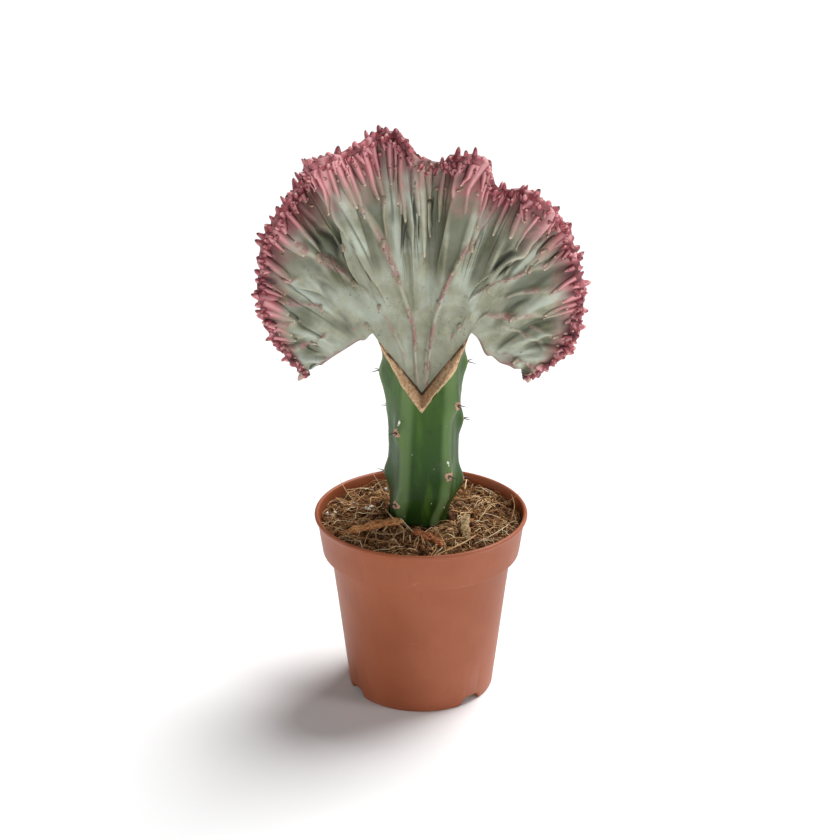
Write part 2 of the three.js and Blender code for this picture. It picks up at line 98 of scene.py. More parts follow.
# The ears' reach grows with height: from, to and share of the whole.
FLARE = ((140, 163, 0.33), (172, 192, 0.67))
STEM_RIBS = 5
STEM_RIB_HEIGHT = 0.9
STEM_RIB_TURN = 34.0
STEM_TWIST = 0.15
# Thorny bumps: turn from the front towards +X in degrees, and height.
THORN_BUMPS = (
    (-43, 140.5), (-43, 102.5), (52, 154), (37, 118.5),
    (103, 170), (100, 141), (98, 109.5), (-103, 165.5),
    (-118, 145.5), (-97, 113.5), (176, 139), (180, 108),
    (-150, 124), (140, 128),
)
# Dried drops: turn, height and size.
SAP_DROPS = (
    (-40, 146, 0.9), (-41, 144.6, 0.5), (38, 125, 0.9), (39, 123.6, 0.5), (44, 100, 0.35), (14, 104, 0.35),
    (-20, 130, 0.3),
)
BUMP_HEIGHT = 2.6
BUMP_WIDTH = 4.6
BUMP_STRETCH = 0.75

# The graft's V: its lowest point, its half width and rise, and how it is bevelled in front and behind.
APEX_X = 0.4
APEX = 157.6
NOTCH_HALF = 23.4
NOTCH_RISE = 30.2
NOTCH_FLAT = 6.8
NOTCH_BEVEL = 4.6
LINING = 1.3
LINING_ENDS = (-23.2, 24.6)
GAP = 0.3

# The crest's growing edge from the left tip over the top to the right tip: x, z, fold towards the front.
EDGE = (
    (-54, 166, 3), (-63, 172.5, 1), (-70, 182, -3), (-73.2, 193, 0),
    (-75, 204, 3.5), (-75.2, 215, 0), (-74.2, 226, -3.5), (-71.5, 236.5, 0),
    (-66.5, 246, 2), (-61, 253.5, -5), (-53.2, 260, -12.5), (-46, 265.5, -11),
    (-47, 269, -2), (-51.5, 268.5, 7), (-51, 272.5, 15), (-43.5, 276, 16),
    (-35, 276.2, 9), (-28.5, 279, 4), (-21, 281.5, -1), (-13, 282.5, -4),
    (-9, 281, 2), (-3.6, 276.5, 7), (-1.6, 271.5, 4), (3, 269, -3),
    (7.5, 268, -6), (12.5, 269, -3), (15, 271.5, 3), (18, 274.5, 10),
    (24.5, 275.5, 13), (30, 272, 9), (30.8, 263, 3), (36, 255, -3),
    (43, 255, 0), (48, 257.5, 8.5), (55, 254, 13.5), (60.5, 248, 7),
    (61.5, 244, -3), (66.5, 237.5, -9), (71, 230, -5), (73.8, 220, 2),
    (75.8, 209, -2), (76.2, 198, -3.5), (73.8, 187, 1), (68.5, 177.5, 3),
    (60.5, 169.5, -1), (49.5, 163.8, 1),
)
LOBE_FOOT_LEFT = (-47, 171.5)
LOBE_FOOT_RIGHT = (44, 169.5)
NECK_SHARE = 0.625
# Where the lobes' undersides hang lower: share of the way out, drop, width, and 1 for the right lobe.
UNDERSIDE = ((0.68, 1.6, 0.03, -1), (0.8, 0.6, 0.1, -1), (0.75, 5.0, 0.05, 1), (0.86, 4.0, 0.09, 1))
# Where the growth lines bend over from the graft, from the middle out to the tips: x, z.
SHOULDER = ((0, 205), (10, 206), (21, 208), (32, 205), (43, 190), (50, 170))
FOLD_POWER = 1.7
SWAY_POWER = 4
ROOT_HALF = 6.4
LOBE_HALF = 3.6
EDGE_HALF = 2.4
THINNING = 1.6
EVEN_SPAN = 0.03
FACE_SPAN = 0.013
LEAN_SPAN = 0.006
UPRIGHT_TO = 0.6
# The thick ribs of the crest's back: share of the edge where each ends, where it starts, height.
RIBS = (
    (0.1, 0.35, 0.8), (0.17, 0.3, 1.2), (0.285, 0.05, 1.6), (0.405, 0.0, 1.9),
    (0.5, 0.0, 0.8), (0.6, 0.0, 1.9), (0.725, 0.1, 1.5), (0.825, 0.25, 1.3), (0.9, 0.4, 0.9),
)
RIB_WIDTH = 2.6
# How many fine pleats the edge has on each face.
FLUTES = 84
# The ridges of the crest's front, each as a line from its lower end up. Then its height and half width in
# millimetres, and how mauve it is.
RIDGES = traced(
    ((20, 470, 300, 466, 360, 449, 510, 424, 590, 415, 670, 406, 760, 393, 810, 385, 880, 381, 1000, 380),
     1.7, 2.3, 1.0),
    ((680, 416, 750, 417, 810, 424, 940, 422, 1000, 421), 1.3, 1.4, 0.5),
    ((100, 405, 170, 389, 260, 355, 350, 327, 420, 275, 480, 242, 610, 220, 720, 205, 820, 193, 990, 177),
     1.6, 2.4, 0.8),
    ((540, 141, 700, 122, 850, 112, 1000, 107), 1.2, 1.8, 0.9),
    ((370, 95, 530, 61, 750, 45, 1000, 37), 1.3, 1.9, 0.8),
    ((750, 159, 860, 144, 1000, 133), 1.2, 1.5, 0.9),
    ((690, 96, 830, 81, 1000, 72), 1.3, 1.6, 0.6),
    ((660, 66, 820, 52, 1000, 48), 1.2, 1.5, 0.6),
    ((760, 345, 820, 340, 880, 350, 1000, 360), 1.6, 1.4, 0.5),
    ((500, 360, 600, 350, 700, 342), 1.2, 1.5, 0.2),
    ((20, 530, 330, 555, 410, 572, 480, 588, 580, 612, 650, 625, 700, 639, 810, 649, 860, 654, 930, 665),
     1.6, 2.2, 1.0),
    ((870, 584, 930, 582, 1000, 593), 1.5, 1.3, 0.6),
    ((810, 603, 900, 600, 1000, 610), 1.5, 1.4, 0.6),
    ((830, 627, 900, 622, 1000, 620), 1.4, 1.3, 0.6),
    ((900, 722, 940, 716, 1000, 706), 1.6, 1.2, 0.8),
    ((600, 766, 760, 743, 830, 738, 900, 740, 1000, 735), 1.6, 1.5, 0.3),
    ((580, 711, 670, 728, 730, 736, 760, 745), 1.3, 1.3, 0.2),
    ((420, 696, 490, 738, 550, 772, 620, 797, 720, 809, 830, 820, 1000, 832), 1.5, 2.0, 0.8),
    ((770, 807, 860, 803, 1000, 812), 1.6, 1.3, 0.5),
    ((490, 819, 610, 833, 760, 849, 1000, 860), 1.2, 1.9, 0.6),
    ((220, 799, 320, 836, 460, 860, 610, 877, 740, 888, 1000, 904), 1.5, 2.1, 0.8),
    ((580, 899, 720, 918, 840, 929, 1000, 937), 1.2, 1.6, 0.5),
    ((180, 925, 300, 963, 620, 983, 1000, 988), 1.2, 1.8, 0.8),
    ((320, 857, 510, 909, 740, 941, 1000, 952), 1.3, 1.9, 0.4),
    ((180, 665, 240, 705, 300, 750), 1.1, 2.0, 0.9),
    ((100, 235, 140, 190, 170, 150), 1.0, 1.8, 0.6),
    ((600, 445, 700, 450, 790, 456, 880, 462), 1.1, 1.2, 0.1),
    ((50, 512, 150, 524, 250, 533), 0.8, 2.2, 0.4),
)
# Horned knobs of the front: place from graft to edge, share along the edge, size.
KNOBS = (
    (0.34, 0.447, 0.7), (0.51, 0.427, 0.9), (0.66, 0.406, 1.2), (0.81, 0.384, 1.3), (0.81, 0.424, 0.9),
    (0.35, 0.325, 0.9), (0.48, 0.24, 1.0), (0.72, 0.206, 1.2), (0.54, 0.141, 1.0), (0.85, 0.112, 1.1),
    (0.53, 0.061, 1.0), (0.12, 0.19, 0.9), (0.86, 0.144, 1.0), (0.68, 0.275, 1.1),
    (0.42, 0.567, 0.8), (0.56, 0.607, 0.9), (0.62, 0.619, 0.7), (0.7, 0.641, 1.2),
    (0.49, 0.738, 1.0), (0.73, 0.809, 1.2), (0.83, 0.82, 0.8), (0.85, 0.803, 1.3), (0.85, 0.854, 1.0),
    (0.45, 0.859, 1.0), (0.74, 0.888, 0.9), (0.84, 0.927, 1.0), (0.3, 0.962, 1.1),
    (0.23, 0.69, 0.9), (0.2, 0.523, 0.6), (0.13, 0.524, 0.8), (0.57, 0.789, 0.6),
)
# Sharp keels of the front that end in a beak: their line as in RIDGES, height and half width.
KEELS = traced(
    ((730, 464, 820, 466, 900, 469, 980, 472), 2.4, 1.9),
    ((780, 489, 870, 487, 980, 488), 2.2, 1.6),
    ((625, 513, 700, 511, 800, 506, 890, 503, 980, 504), 3.0, 1.9),
    ((865, 520, 925, 521, 980, 521), 2.6, 1.8),
    ((768, 550, 860, 546, 980, 545), 2.2, 1.6),
    ((712, 529, 782, 519, 848, 514), 2.6, 1.8),
    ((752, 457, 818, 460, 898, 468), 1.6, 1.6),
    ((905, 592, 940, 596, 1000, 600), 2.4, 1.6),
    ((920, 671, 960, 671, 1000, 670), 2.8, 1.7),
    ((900, 720, 942, 711, 982, 702), 2.8, 1.7),
    ((810, 377, 860, 374, 915, 372, 1000, 372), 2.6, 1.9),
    ((808, 416, 858, 412, 925, 412, 1000, 411), 2.6, 1.9),
    ((948, 366, 985, 369, 1000, 371), 2.2, 1.6),
    ((945, 406, 985, 403, 1000, 404), 2.2, 1.6),
    ((820, 328, 865, 338, 910, 348, 1000, 352), 2.2, 1.6),
    ((932, 339, 970, 344, 1000, 346), 2.0, 1.5),
    ((935, 218, 965, 218, 1000, 220), 2.2, 1.5),
    ((760, 732, 840, 729, 905, 729, 950, 729), 1.8, 1.0),
)
# The keels end here, just short of the growing edge.
KEEL_END = 0.985
# A fine pleat this near to a keel's upper end, as a share of the edge, starts only just below the edge.
KEEL_BERTH = 0.005
# Sharp dark creases of the front: their line as in RIDGES, depth and half width.
CREASES = traced(
    ((832, 232, 890, 227, 948, 224), 2.4, 1.3),
    ((662, 243, 735, 243, 768, 238, 802, 231), 3.0, 1.7),
    ((750, 219, 812, 218, 862, 218, 910, 221), 2.4, 1.6),
    ((500, 335, 590, 340, 690, 345), 1.5, 2.0),
    ((775, 735, 812, 734, 855, 734, 908, 736), 3.0, 1.6),
    ((600, 714, 692, 724, 748, 732), 2.4, 1.6),
    ((572, 751, 658, 757, 748, 760, 812, 765, 868, 781), 1.5, 1.2),
    ((838, 798, 862, 794, 900, 793), 1.2, 0.9),
    ((760, 478, 850, 478, 960, 480), 1.3, 0.8),
    ((700, 497, 800, 497, 960, 496), 1.3, 0.8),
    ((735, 524, 800, 527, 858, 531), 1.3, 0.8),
    ((802, 562, 880, 561, 950, 560), 1.3, 0.9),
    ((850, 494, 925, 491, 982, 488), 1.6, 0.8),
    ((872, 513, 932, 511, 975, 511), 1.6, 0.8),
    ((928, 564, 955, 562, 980, 563), 1.4, 0.9),
    ((625, 445, 685, 451, 745, 456), 1.0, 0.9),
    ((635, 449, 690, 457, 725, 464), 1.0, 0.9),
)
# The pinch of the front's middle: where it is, how wide, and how much further out its rose edge starts.
PINCH = (0.518, 0.04, 0.11)
# Overlapping folds: the line of each fold's edge as in RIDGES, how far its high side stands forward and its
# low side lies back, how wide it is in millimetres, how far its rim leans over the low side, and which side
# is high: 1 towards the right tip, -1 towards the left.
FLAPS = traced(
    ((500, 262, 680, 272, 800, 300, 920, 318), 5.0, 7.0, 13, 3.0, 1),
    ((460, 366, 600, 351, 700, 343, 780, 340), 3.0, 4.0, 8, 2.2, 1),
    ((640, 768, 760, 747, 830, 742, 950, 742), 4.5, 7.0, 11, 3.0, -1),
    ((480, 690, 580, 713, 670, 730, 750, 745), 3.0, 4.5, 8, 2.2, -1),
    ((660, 477, 800, 478, 900, 486), 2.6, 3.0, 7, 1.6, -1),
    ((600, 556, 750, 572, 900, 582), 2.4, 2.6, 7, 1.4, 1),
    ((620, 70, 800, 62, 950, 60), 1.4, 1.6, 8, 0.8, 1),
    ((600, 160, 750, 148, 950, 140), 1.6, 2.0, 8, 1.0, 1),
)

# Loose bits of husk: both ends, then width and thickness.
HUSKS = (
    ((-41, -15.5, 88.3), (-8.6, -18, 96.6), 6.5, 3.6),
    ((-4, -19, 93), (11, -33, 89.4), 5.2, 2.8),
    ((19.3, -26.5, 88.6), (23.3, -9, 96.2), 4.6, 2.4),
)

# ---------- camera, as the photograph was taken ----------

CAMERA_AT = (-0.533, -924.06, 523.65)
CAMERA_DOWN = 22.473
CAMERA_LENS = 88.48
FLOOR_FAR = 30.0  # metres


def camera():
    """The photograph's view: a long lens about a metre away, looking down at the plant."""
    data = bpy.data.cameras.new("camera")
    data.lens = CAMERA_LENS
    data.sensor_width = 36
    made = placed("camera", data)
    made.location = Vector(CAMERA_AT) * MM
    made.rotation_euler = (math.radians(90 - CAMERA_DOWN), 0, 0)
    bpy.context.scene.camera = made


# ---------- numbers ----------

def smoothstep(x, low, high):
    """0 below low, 1 above high, and an S-shaped rise between."""
    t = np.clip((x - low) / (high - low), 0, 1)
    return t * t * (3 - 2 * t)


def bell(x):
    """A round bump of height 1 at 0."""
    return np.exp(-x * x)


def mix(a, b, t):
    """The value t of the way from a to b."""
    return a + (b - a) * t


def hashed(*whole):
    """A repeatable number from 0 to 1 for each set of whole numbers."""
    total = sum(np.asarray(w, dtype=float) * k for w, k in zip(whole, (12.9898, 78.233, 37.719, 9.151)))
    return np.mod(np.sin(total) * 43758.5453, 1.0)


def noise(points, size, seed=0):
    """Smooth noise from -1 to 1: random values at the corners of a lattice, blended in between."""
    scaled = np.asarray(points) / size
    low = np.floor(scaled)
    t = scaled - low
    t = t * t * (3 - 2 * t)
    total = 0
    for corner in np.ndindex(2, 2, 2):
        weight = np.prod(np.where(corner, t, 1 - t), axis=-1)
        total = total + weight * hashed(low[..., 0] + corner[0], low[..., 1] + corner[1],
                                        low[..., 2] + corner[2], seed)
    return 2 * total - 1


def unit(vectors):
    """The vectors at length 1."""
    return vectors / np.maximum(np.linalg.norm(vectors, axis=-1, keepdims=True), 1e-9)


def vectors(x, y, z):
    """Points or directions from their three parts."""
    return np.stack(np.broadcast_arrays(x, y, z), axis=-1)


def around(turn, radius, z):
    """Points at a turn from the front towards +X in degrees, a radius and a height."""
    angle = np.radians(turn)
    return vectors(radius * np.sin(angle), -radius * np.cos(angle), z)


def turns(count):
    """A full turn in equal steps, in degrees."""
    return np.arange(count) * 360 / count


def spline(points, t):
    """A smooth curve through points, at t from 0 to 1: each stretch is a cubic that leaves and meets
    its ends in the direction of the chord between their neighbours."""
    p = np.asarray(points, dtype=float)
    p = np.vstack([2 * p[0] - p[1], p, 2 * p[-1] - p[-2]])
    stretches = len(p) - 3
    place = np.clip(t, 0, 1) * stretches
    i = np.minimum(place.astype(int), stretches - 1)
    u = (place - i)[..., None]
    a, b, c, d = p[i], p[i + 1], p[i + 2], p[i + 3]
    start, end = (c - a) / 2, (d - b) / 2
    return (2 * b - 2 * c + start + end) * u**3 + (3 * c - 3 * b - 2 * start - end) * u**2 + start * u + b


# ---------- meshes ----------

def placed(name, data):
    """A new object of the scene."""
    made = bpy.data.objects.new(name, data)
    bpy.context.collection.objects.link(made)
    return made


class Shape:
    """Vertices, faces and named values of a mesh that is being put together."""

    def __init__(self):
        self.points, self.faces, self.values, self.count = [], [], {}, 0

    def add(self, points, faces, **values):
        """Adds points with the faces between them, and one value a point for each name."""
        flat = points.reshape(-1, 3)
        self.points.append(flat)
        self.faces += [f + self.count for f in faces]
        for name, value in values.items():
            self.values.setdefault(name, []).append(np.broadcast_to(value, points.shape[:-1]).reshape(-1))
        self.count += len(flat)

    def piece(self, name, finish, slot, smooth=True):
        """The finished object, which moves with the pot."""
        mesh = bpy.data.meshes.new(name)
        faces = [row for block in self.faces for row in block.tolist()]
        mesh.from_pydata(np.concatenate(self.points) * MM, [], faces)
        mesh.polygons.foreach_set("use_smooth", np.full(len(faces), smooth))
        for key, values in self.values.items():
            layer = mesh.attributes.new(key, "FLOAT", "POINT")
            layer.data.foreach_set("value", np.concatenate(values).astype(np.float32))
        mesh.materials.append(finish)
        made = placed(name, mesh)
        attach(made, "root")
        return made


def whole(name, finish, slot, points, faces, smooth=True, **values):
    """A piece that is made in one go."""
    shape = Shape()
    shape.add(points, faces, **values)
    return shape.piece(name, finish, slot, smooth)


def grid_faces(rows, columns, wrap_rows=False, wrap_columns=False):
    """Quads between a grid's neighbours, with its last row or column joined to the first if wrapped."""
    i = np.arange(rows if wrap_rows else rows - 1)
    j = np.arange(columns if wrap_columns else columns - 1)
    i, j = (a.ravel() for a in np.meshgrid(i, j, indexing="ij"))
    up, right = (i + 1) % rows, (j + 1) % columns
    return np.stack([i * columns + j, i * columns + right, up * columns + right, up * columns + j], axis=1)


def flipped(faces):
    """The same faces, seen from their other side."""
    return [block[:, ::-1] for block in faces]


def tube_faces(count, stations, sides):
    """Faces of many tubes whose rings of points follow each other, with both ends closed."""
    one = grid_faces(stations, sides, wrap_columns=True)
    offset = (np.arange(count) * stations * sides)[:, None]
    walls = (one[None] + offset[..., None]).reshape(-1, 4)
    first = np.arange(sides)[::-1][None] + offset
    last = np.arange(sides)[None] + offset + (stations - 1) * sides
    return flipped([walls, first, last])


def tubes(centres, radii, sides, flatness=1.0):
    """Many tubes at once. centres holds each tube's stations, radii their radii: a ring of points stands
    round each station, square to the tube's own direction. Returns the points and faces, ends closed."""
    count, stations = centres.shape[:2]
    along = unit(np.gradient(centres, axis=1))
    side = unit(np.cross(along, np.array([0.31, 0.22, 0.93])))
    up = np.cross(side, along)
    angle = np.arange(sides) * 2 * np.pi / sides
    ring = (np.cos(angle)[:, None] * side[:, :, None] +
            flatness * np.sin(angle)[:, None] * up[:, :, None])
    points = centres[:, :, None] + radii[:, :, None, None] * ring
    return points, tube_faces(count, stations, sides)


# ---------- materials ----------

class Wire:
    """A node's output that takes part in arithmetic."""

    def __init__(self, finish, socket):
        self.finish, self.socket = finish, socket

    def _with(self, operation, a, b):
        return self.finish.node("ShaderNodeMath", {"operation": operation}, {0: a, 1: b})

    def __add__(self, other):
        return self._with("ADD", self, other)

    def __sub__(self, other):
        return self._with("SUBTRACT", self, other)

    def __mul__(self, other):
        return self._with("MULTIPLY", self, other)

    def __rsub__(self, other):
        return self._with("SUBTRACT", other, self)

    def __pow__(self, other):
        return self._with("POWER", self, other)

    __radd__ = __add__
    __rmul__ = __mul__


class Finish:
    """A material whose nodes are written as expressions."""

    def __init__(self, name):
        self.material = bpy.data.materials.new(name)
        self.material.use_nodes = True
        self.tree = self.material.node_tree
        self.tree.nodes.clear()

    def node(self, kind, settings=None, inputs=None, output=0):
        """A node with its settings made first, then its inputs' values or links."""
        made = self.tree.nodes.new(kind)
        for key, value in (settings or {}).items():
            if key == "stops":
                self._stops(made.color_ramp, value)
            else:
                setattr(made, key, value)
        for key, value in (inputs or {}).items():
            if isinstance(value, Wire):
                self.tree.links.new(value.socket, made.inputs[key])
            else:
                made.inputs[key].default_value = value
        return Wire(self, made.outputs[output]) if made.outputs else None

    def _stops(self, ramp, stops):
        while len(ramp.elements) < len(stops):
            ramp.elements.new(0.5)
        for element, (place, colour) in zip(ramp.elements, stops):
            element.position = place
            element.color = (*rgb(*colour), 1)

    def place(self):
        """Each point's own place on the object, in metres."""
        return self.node("ShaderNodeTexCoord", output=3)

    def stretched(self, x, y, z):
        """The object's coordinates with each axis multiplied."""
        return self.node("ShaderNodeMapping", inputs={"Vector": self.place(), "Scale": (x, y, z)})

    def value(self, name):
        """A value that the mesh carries at each point."""
        return self.node("ShaderNodeAttribute", {"attribute_name": name}, output=2)

    def cloud(self, size_mm, detail=3.0, rough=0.55, distortion=0.0, at=None):
        """Noise about 0.5 whose blobs are size_mm across."""
        return self.node("ShaderNodeTexNoise", inputs={
            "Vector": at or self.place(), "Scale": 1 / (size_mm * MM), "Detail": detail,
            "Roughness": rough, "Distortion": distortion})

    def step(self, value, low, high):
        """0 below low and 1 above high, smooth between."""
        return self.node("ShaderNodeMapRange", {"interpolation_type": "SMOOTHSTEP"},
                         {"Value": value, "From Min": low, "From Max": high})

    def ramp(self, value, *stops):
        """A colour for each value, between screen colours."""
        return self.node("ShaderNodeValToRGB", {"stops": stops}, {"Fac": value})

    def blend(self, a, b, amount):
        """The colour `amount` of the way from a to b. Either can be a screen colour."""
        paint = [c if isinstance(c, Wire) else (*rgb(*c), 1) for c in (a, b)]
        return self.node("ShaderNodeMix", {"data_type": "RGBA"}, {0: amount, 6: paint[0], 7: paint[1]},
                         output=2)

    def layers(self, colour, *coats):
        """A colour with others laid over it in turn, each by its amount."""
        for coat, amount in coats:
            colour = self.blend(colour, coat, amount)
        return colour

    def bump(self, height, depth_mm, strength=1.0, under=None):
        """Normals of a surface raised by height times depth_mm."""
        inputs = {"Height": height, "Distance": depth_mm * MM, "Strength": strength}
        if under:
            inputs["Normal"] = under
        return self.node("ShaderNodeBump", inputs=inputs)

    def surface(self, colour, roughness, normal=None, **numbers):
        """Ends the material with a shader of this colour, roughness and relief."""
        paint = colour if isinstance(colour, Wire) else (*colour, 1)
        inputs = {"Base Color": paint, "Roughness": roughness}
        for key, value in numbers.items():
            inputs[key.replace("_", " ").title().replace("Ior", "IOR")] = value
        if normal:
            inputs["Normal"] = normal
        shader = self.node("ShaderNodeBsdfPrincipled", inputs=inputs)
        self.node("ShaderNodeOutputMaterial", inputs={"Surface": shader})
        return self.material


def rgb(*screen):
    """A colour as a screen shows it, 0 to 255, turned into light."""
    return tuple(((c / 255 + 0.055) / 1.055) ** 2.4 if c > 10 else c / 255 / 12.92 for c in screen)


def pot_plastic():
    """Satin terracotta plastic with a faint orange peel, a few scuffs and a paler dusty bloom."""
    f = Finish("terracotta_plastic")
    hole = f.value("hole")
    mottle = f.cloud(3.5, 3, at=f.stretched(1, 1, 0.4))
    scuff = f.step(f.cloud(5.5, 5, 0.7, 1.2, at=f.stretched(0.7, 0.7, 2.4)), 0.63, 0.7)
    colour = f.layers(
        (148, 80, 50),
        ((156, 87, 57), f.step(f.cloud(38, 2), 0.35, 0.65)),
        ((146, 75, 46), f.step(mottle, 0.45, 0.75) * 0.3),
        ((190, 126, 96), scuff * 0.3),
        (f.ramp(mottle, (0.3, (38, 24, 15)), (0.6, (96, 66, 44))), hole))
    roughness = 0.42 + 0.08 * mottle + 0.14 * scuff + 0.3 * hole
    return f.surface(colour, roughness, f.bump(f.cloud(0.9, 2), 0.03), specular_ior_level=0.32)


def soil_finish():
    """Dark crumbly coir between the fibres."""
    f = Finish("soil")
    crumbs = f.cloud(1.6, 4, 0.65)
    colour = f.ramp(crumbs, (0.3, (26, 15, 9)), (0.5, (70, 45, 28)), (0.66, (122, 90, 60)))
    colour = f.blend(colour, (112, 62, 36), f.step(f.cloud(9, 2), 0.5, 0.68) * 0.5)
    return f.surface(colour, 0.95, f.bump(crumbs, 1.2, 0.9), specular_ior_level=0.2)


def fibre_finish():
    """Coir and straw: each strand has its own tone, from dark husk to bleached straw."""
    f = Finish("coir_fibre")
    colour = f.ramp(f.value("tone"), (0.0, (44, 25, 14)), (0.3, (112, 70, 40)), (0.55, (160, 112, 68)),
                    (0.8, (198, 160, 112)), (1.0, (232, 212, 174)))
    streak = f.cloud(0.8, 2)
    colour = f.blend(colour, (80, 48, 28), f.step(streak, 0.5, 0.75) * 0.5)
    return f.surface(colour, 0.8, f.bump(streak, 0.15), specular_ior_level=0.3)


def perlite_finish():
    """Chalk-white foamed grains with dusty pits."""
    f = Finish("perlite")
    pits = f.cloud(0.5, 3)
    return f.surface(f.ramp(pits, (0.3, (168, 160, 146)), (0.55, (232, 228, 218))), 0.9, f.bump(pits, 0.4))


def husk_finish(name, dark, middle, light):
    """Matted husk: long fibres side by side, dark between them."""
    f = Finish(name)
    strands = f.cloud(0.7, 4, 0.6, 0.4, at=f.stretched(0.35, 1, 1))
    colour = f.ramp(strands, (0.34, dark), (0.52, middle), (0.68, light))
    colour = f.blend(colour, dark, f.step(f.cloud(4, 3), 0.52, 0.7) * 0.55)
    return f.surface(colour, 0.9, f.bump(strands, 0.7), specular_ior_level=0.2)


def stem_skin():
    """Waxy deep green skin, darker at the base, with pale streaks along it and small pale dots, and a
    painted highlight along the crests of its ribs. It is corky under the cushions, and pale and then tan
    along the cut."""
    f = Finish("stem_skin")
    corky, cut = f.value("cork"), f.value("cut")
    streaks = f.cloud(5, 4, 0.55, 0.3, at=f.stretched(1, 1, 0.16))
    dots = f.node("ShaderNodeTexVoronoi", inputs={"Vector": f.place(), "Scale": 1 / (5.5 * MM)})
    tan = f.ramp(f.cloud(1.4, 4, 0.6), (0.3, (156, 116, 80)), (0.5, (208, 170, 130)),
                 (0.7, (232, 204, 166)))
    colour = f.layers(
        f.ramp(f.value("height"), (0.0, (22, 45, 2)), (0.35, (33, 68, 6)), (1.0, (58, 92, 16))),
        ((78, 114, 32), f.step(streaks, 0.5, 0.72) * 0.5),
        ((24, 46, 8), f.step(f.cloud(7, 3), 0.52, 0.72) * 0.45),
        # Painted highlight: the crests of the ribs are paler.
        ((120, 146, 94), f.value("ridge") * 0.5),
        ((176, 184, 150), (1 - f.step(dots, 0.035, 0.075)) * f.step(f.cloud(9, 2), 0.5, 0.6)),
        ((110, 92, 62), corky * 0.8),
        ((206, 208, 168), f.step(cut, 0.2, 0.5)),
        (tan, f.step(cut, 0.5, 0.7)))
    roughness = 0.4 + 0.16 * streaks + 0.3 * corky + 0.3 * cut
    relief = f.bump(f.cloud(0.7, 2), 0.06, 0.6, f.bump(streaks, 0.35, 0.5))
    return f.surface(colour, roughness, relief, subsurface_weight=0.06, subsurface_scale=0.002,
                     coat_weight=0.03, coat_roughness=0.3, specular_ior_level=0.25)


def cork_finish():
    """Pinkish tan cork of the cushions under the spines, darker in their craters."""
    f = Finish("cushion_cork")
    grain = f.cloud(0.6, 3)
    colour = f.ramp(grain, (0.3, (128, 88, 74)), (0.5, (190, 150, 126)), (0.7, (222, 190, 166)))
    return f.surface(f.blend(colour, (92, 54, 44), f.value("crater")), 0.85, f.bump(grain, 0.3))


def spine_finish():
    """Dark red-brown horn, paler at the root."""
    f = Finish("spine")
    colour = f.ramp(f.value("tip"), (0.0, (104, 70, 56)), (0.25, (58, 34, 30)), (1.0, (28, 18, 18)))
    return f.surface(colour, 0.5)


def latex_finish():
    """Dried white sap."""
    f = Finish("dried_sap")
    return f.surface(f.ramp(f.cloud(0.5), (0.3, (206, 208, 190)), (0.6, (246, 246, 238))), 0.5)


def callus_finish():
    """Dry tan callus of the graft, with a ragged dark brown seam along the crest."""
    f = Finish("callus")
    grain = f.cloud(1.4, 4, 0.6)
    colour = f.ramp(grain, (0.28, (156, 112, 76)), (0.5, (212, 172, 132)), (0.72, (236, 208, 172)))
    colour = f.blend(colour, (78, 44, 28), f.value("seam") * 0.9)
    return f.surface(colour, 0.82, f.bump(f.cloud(0.45, 2), 0.25, 0.7, f.bump(grain, 0.6, 0.8)))


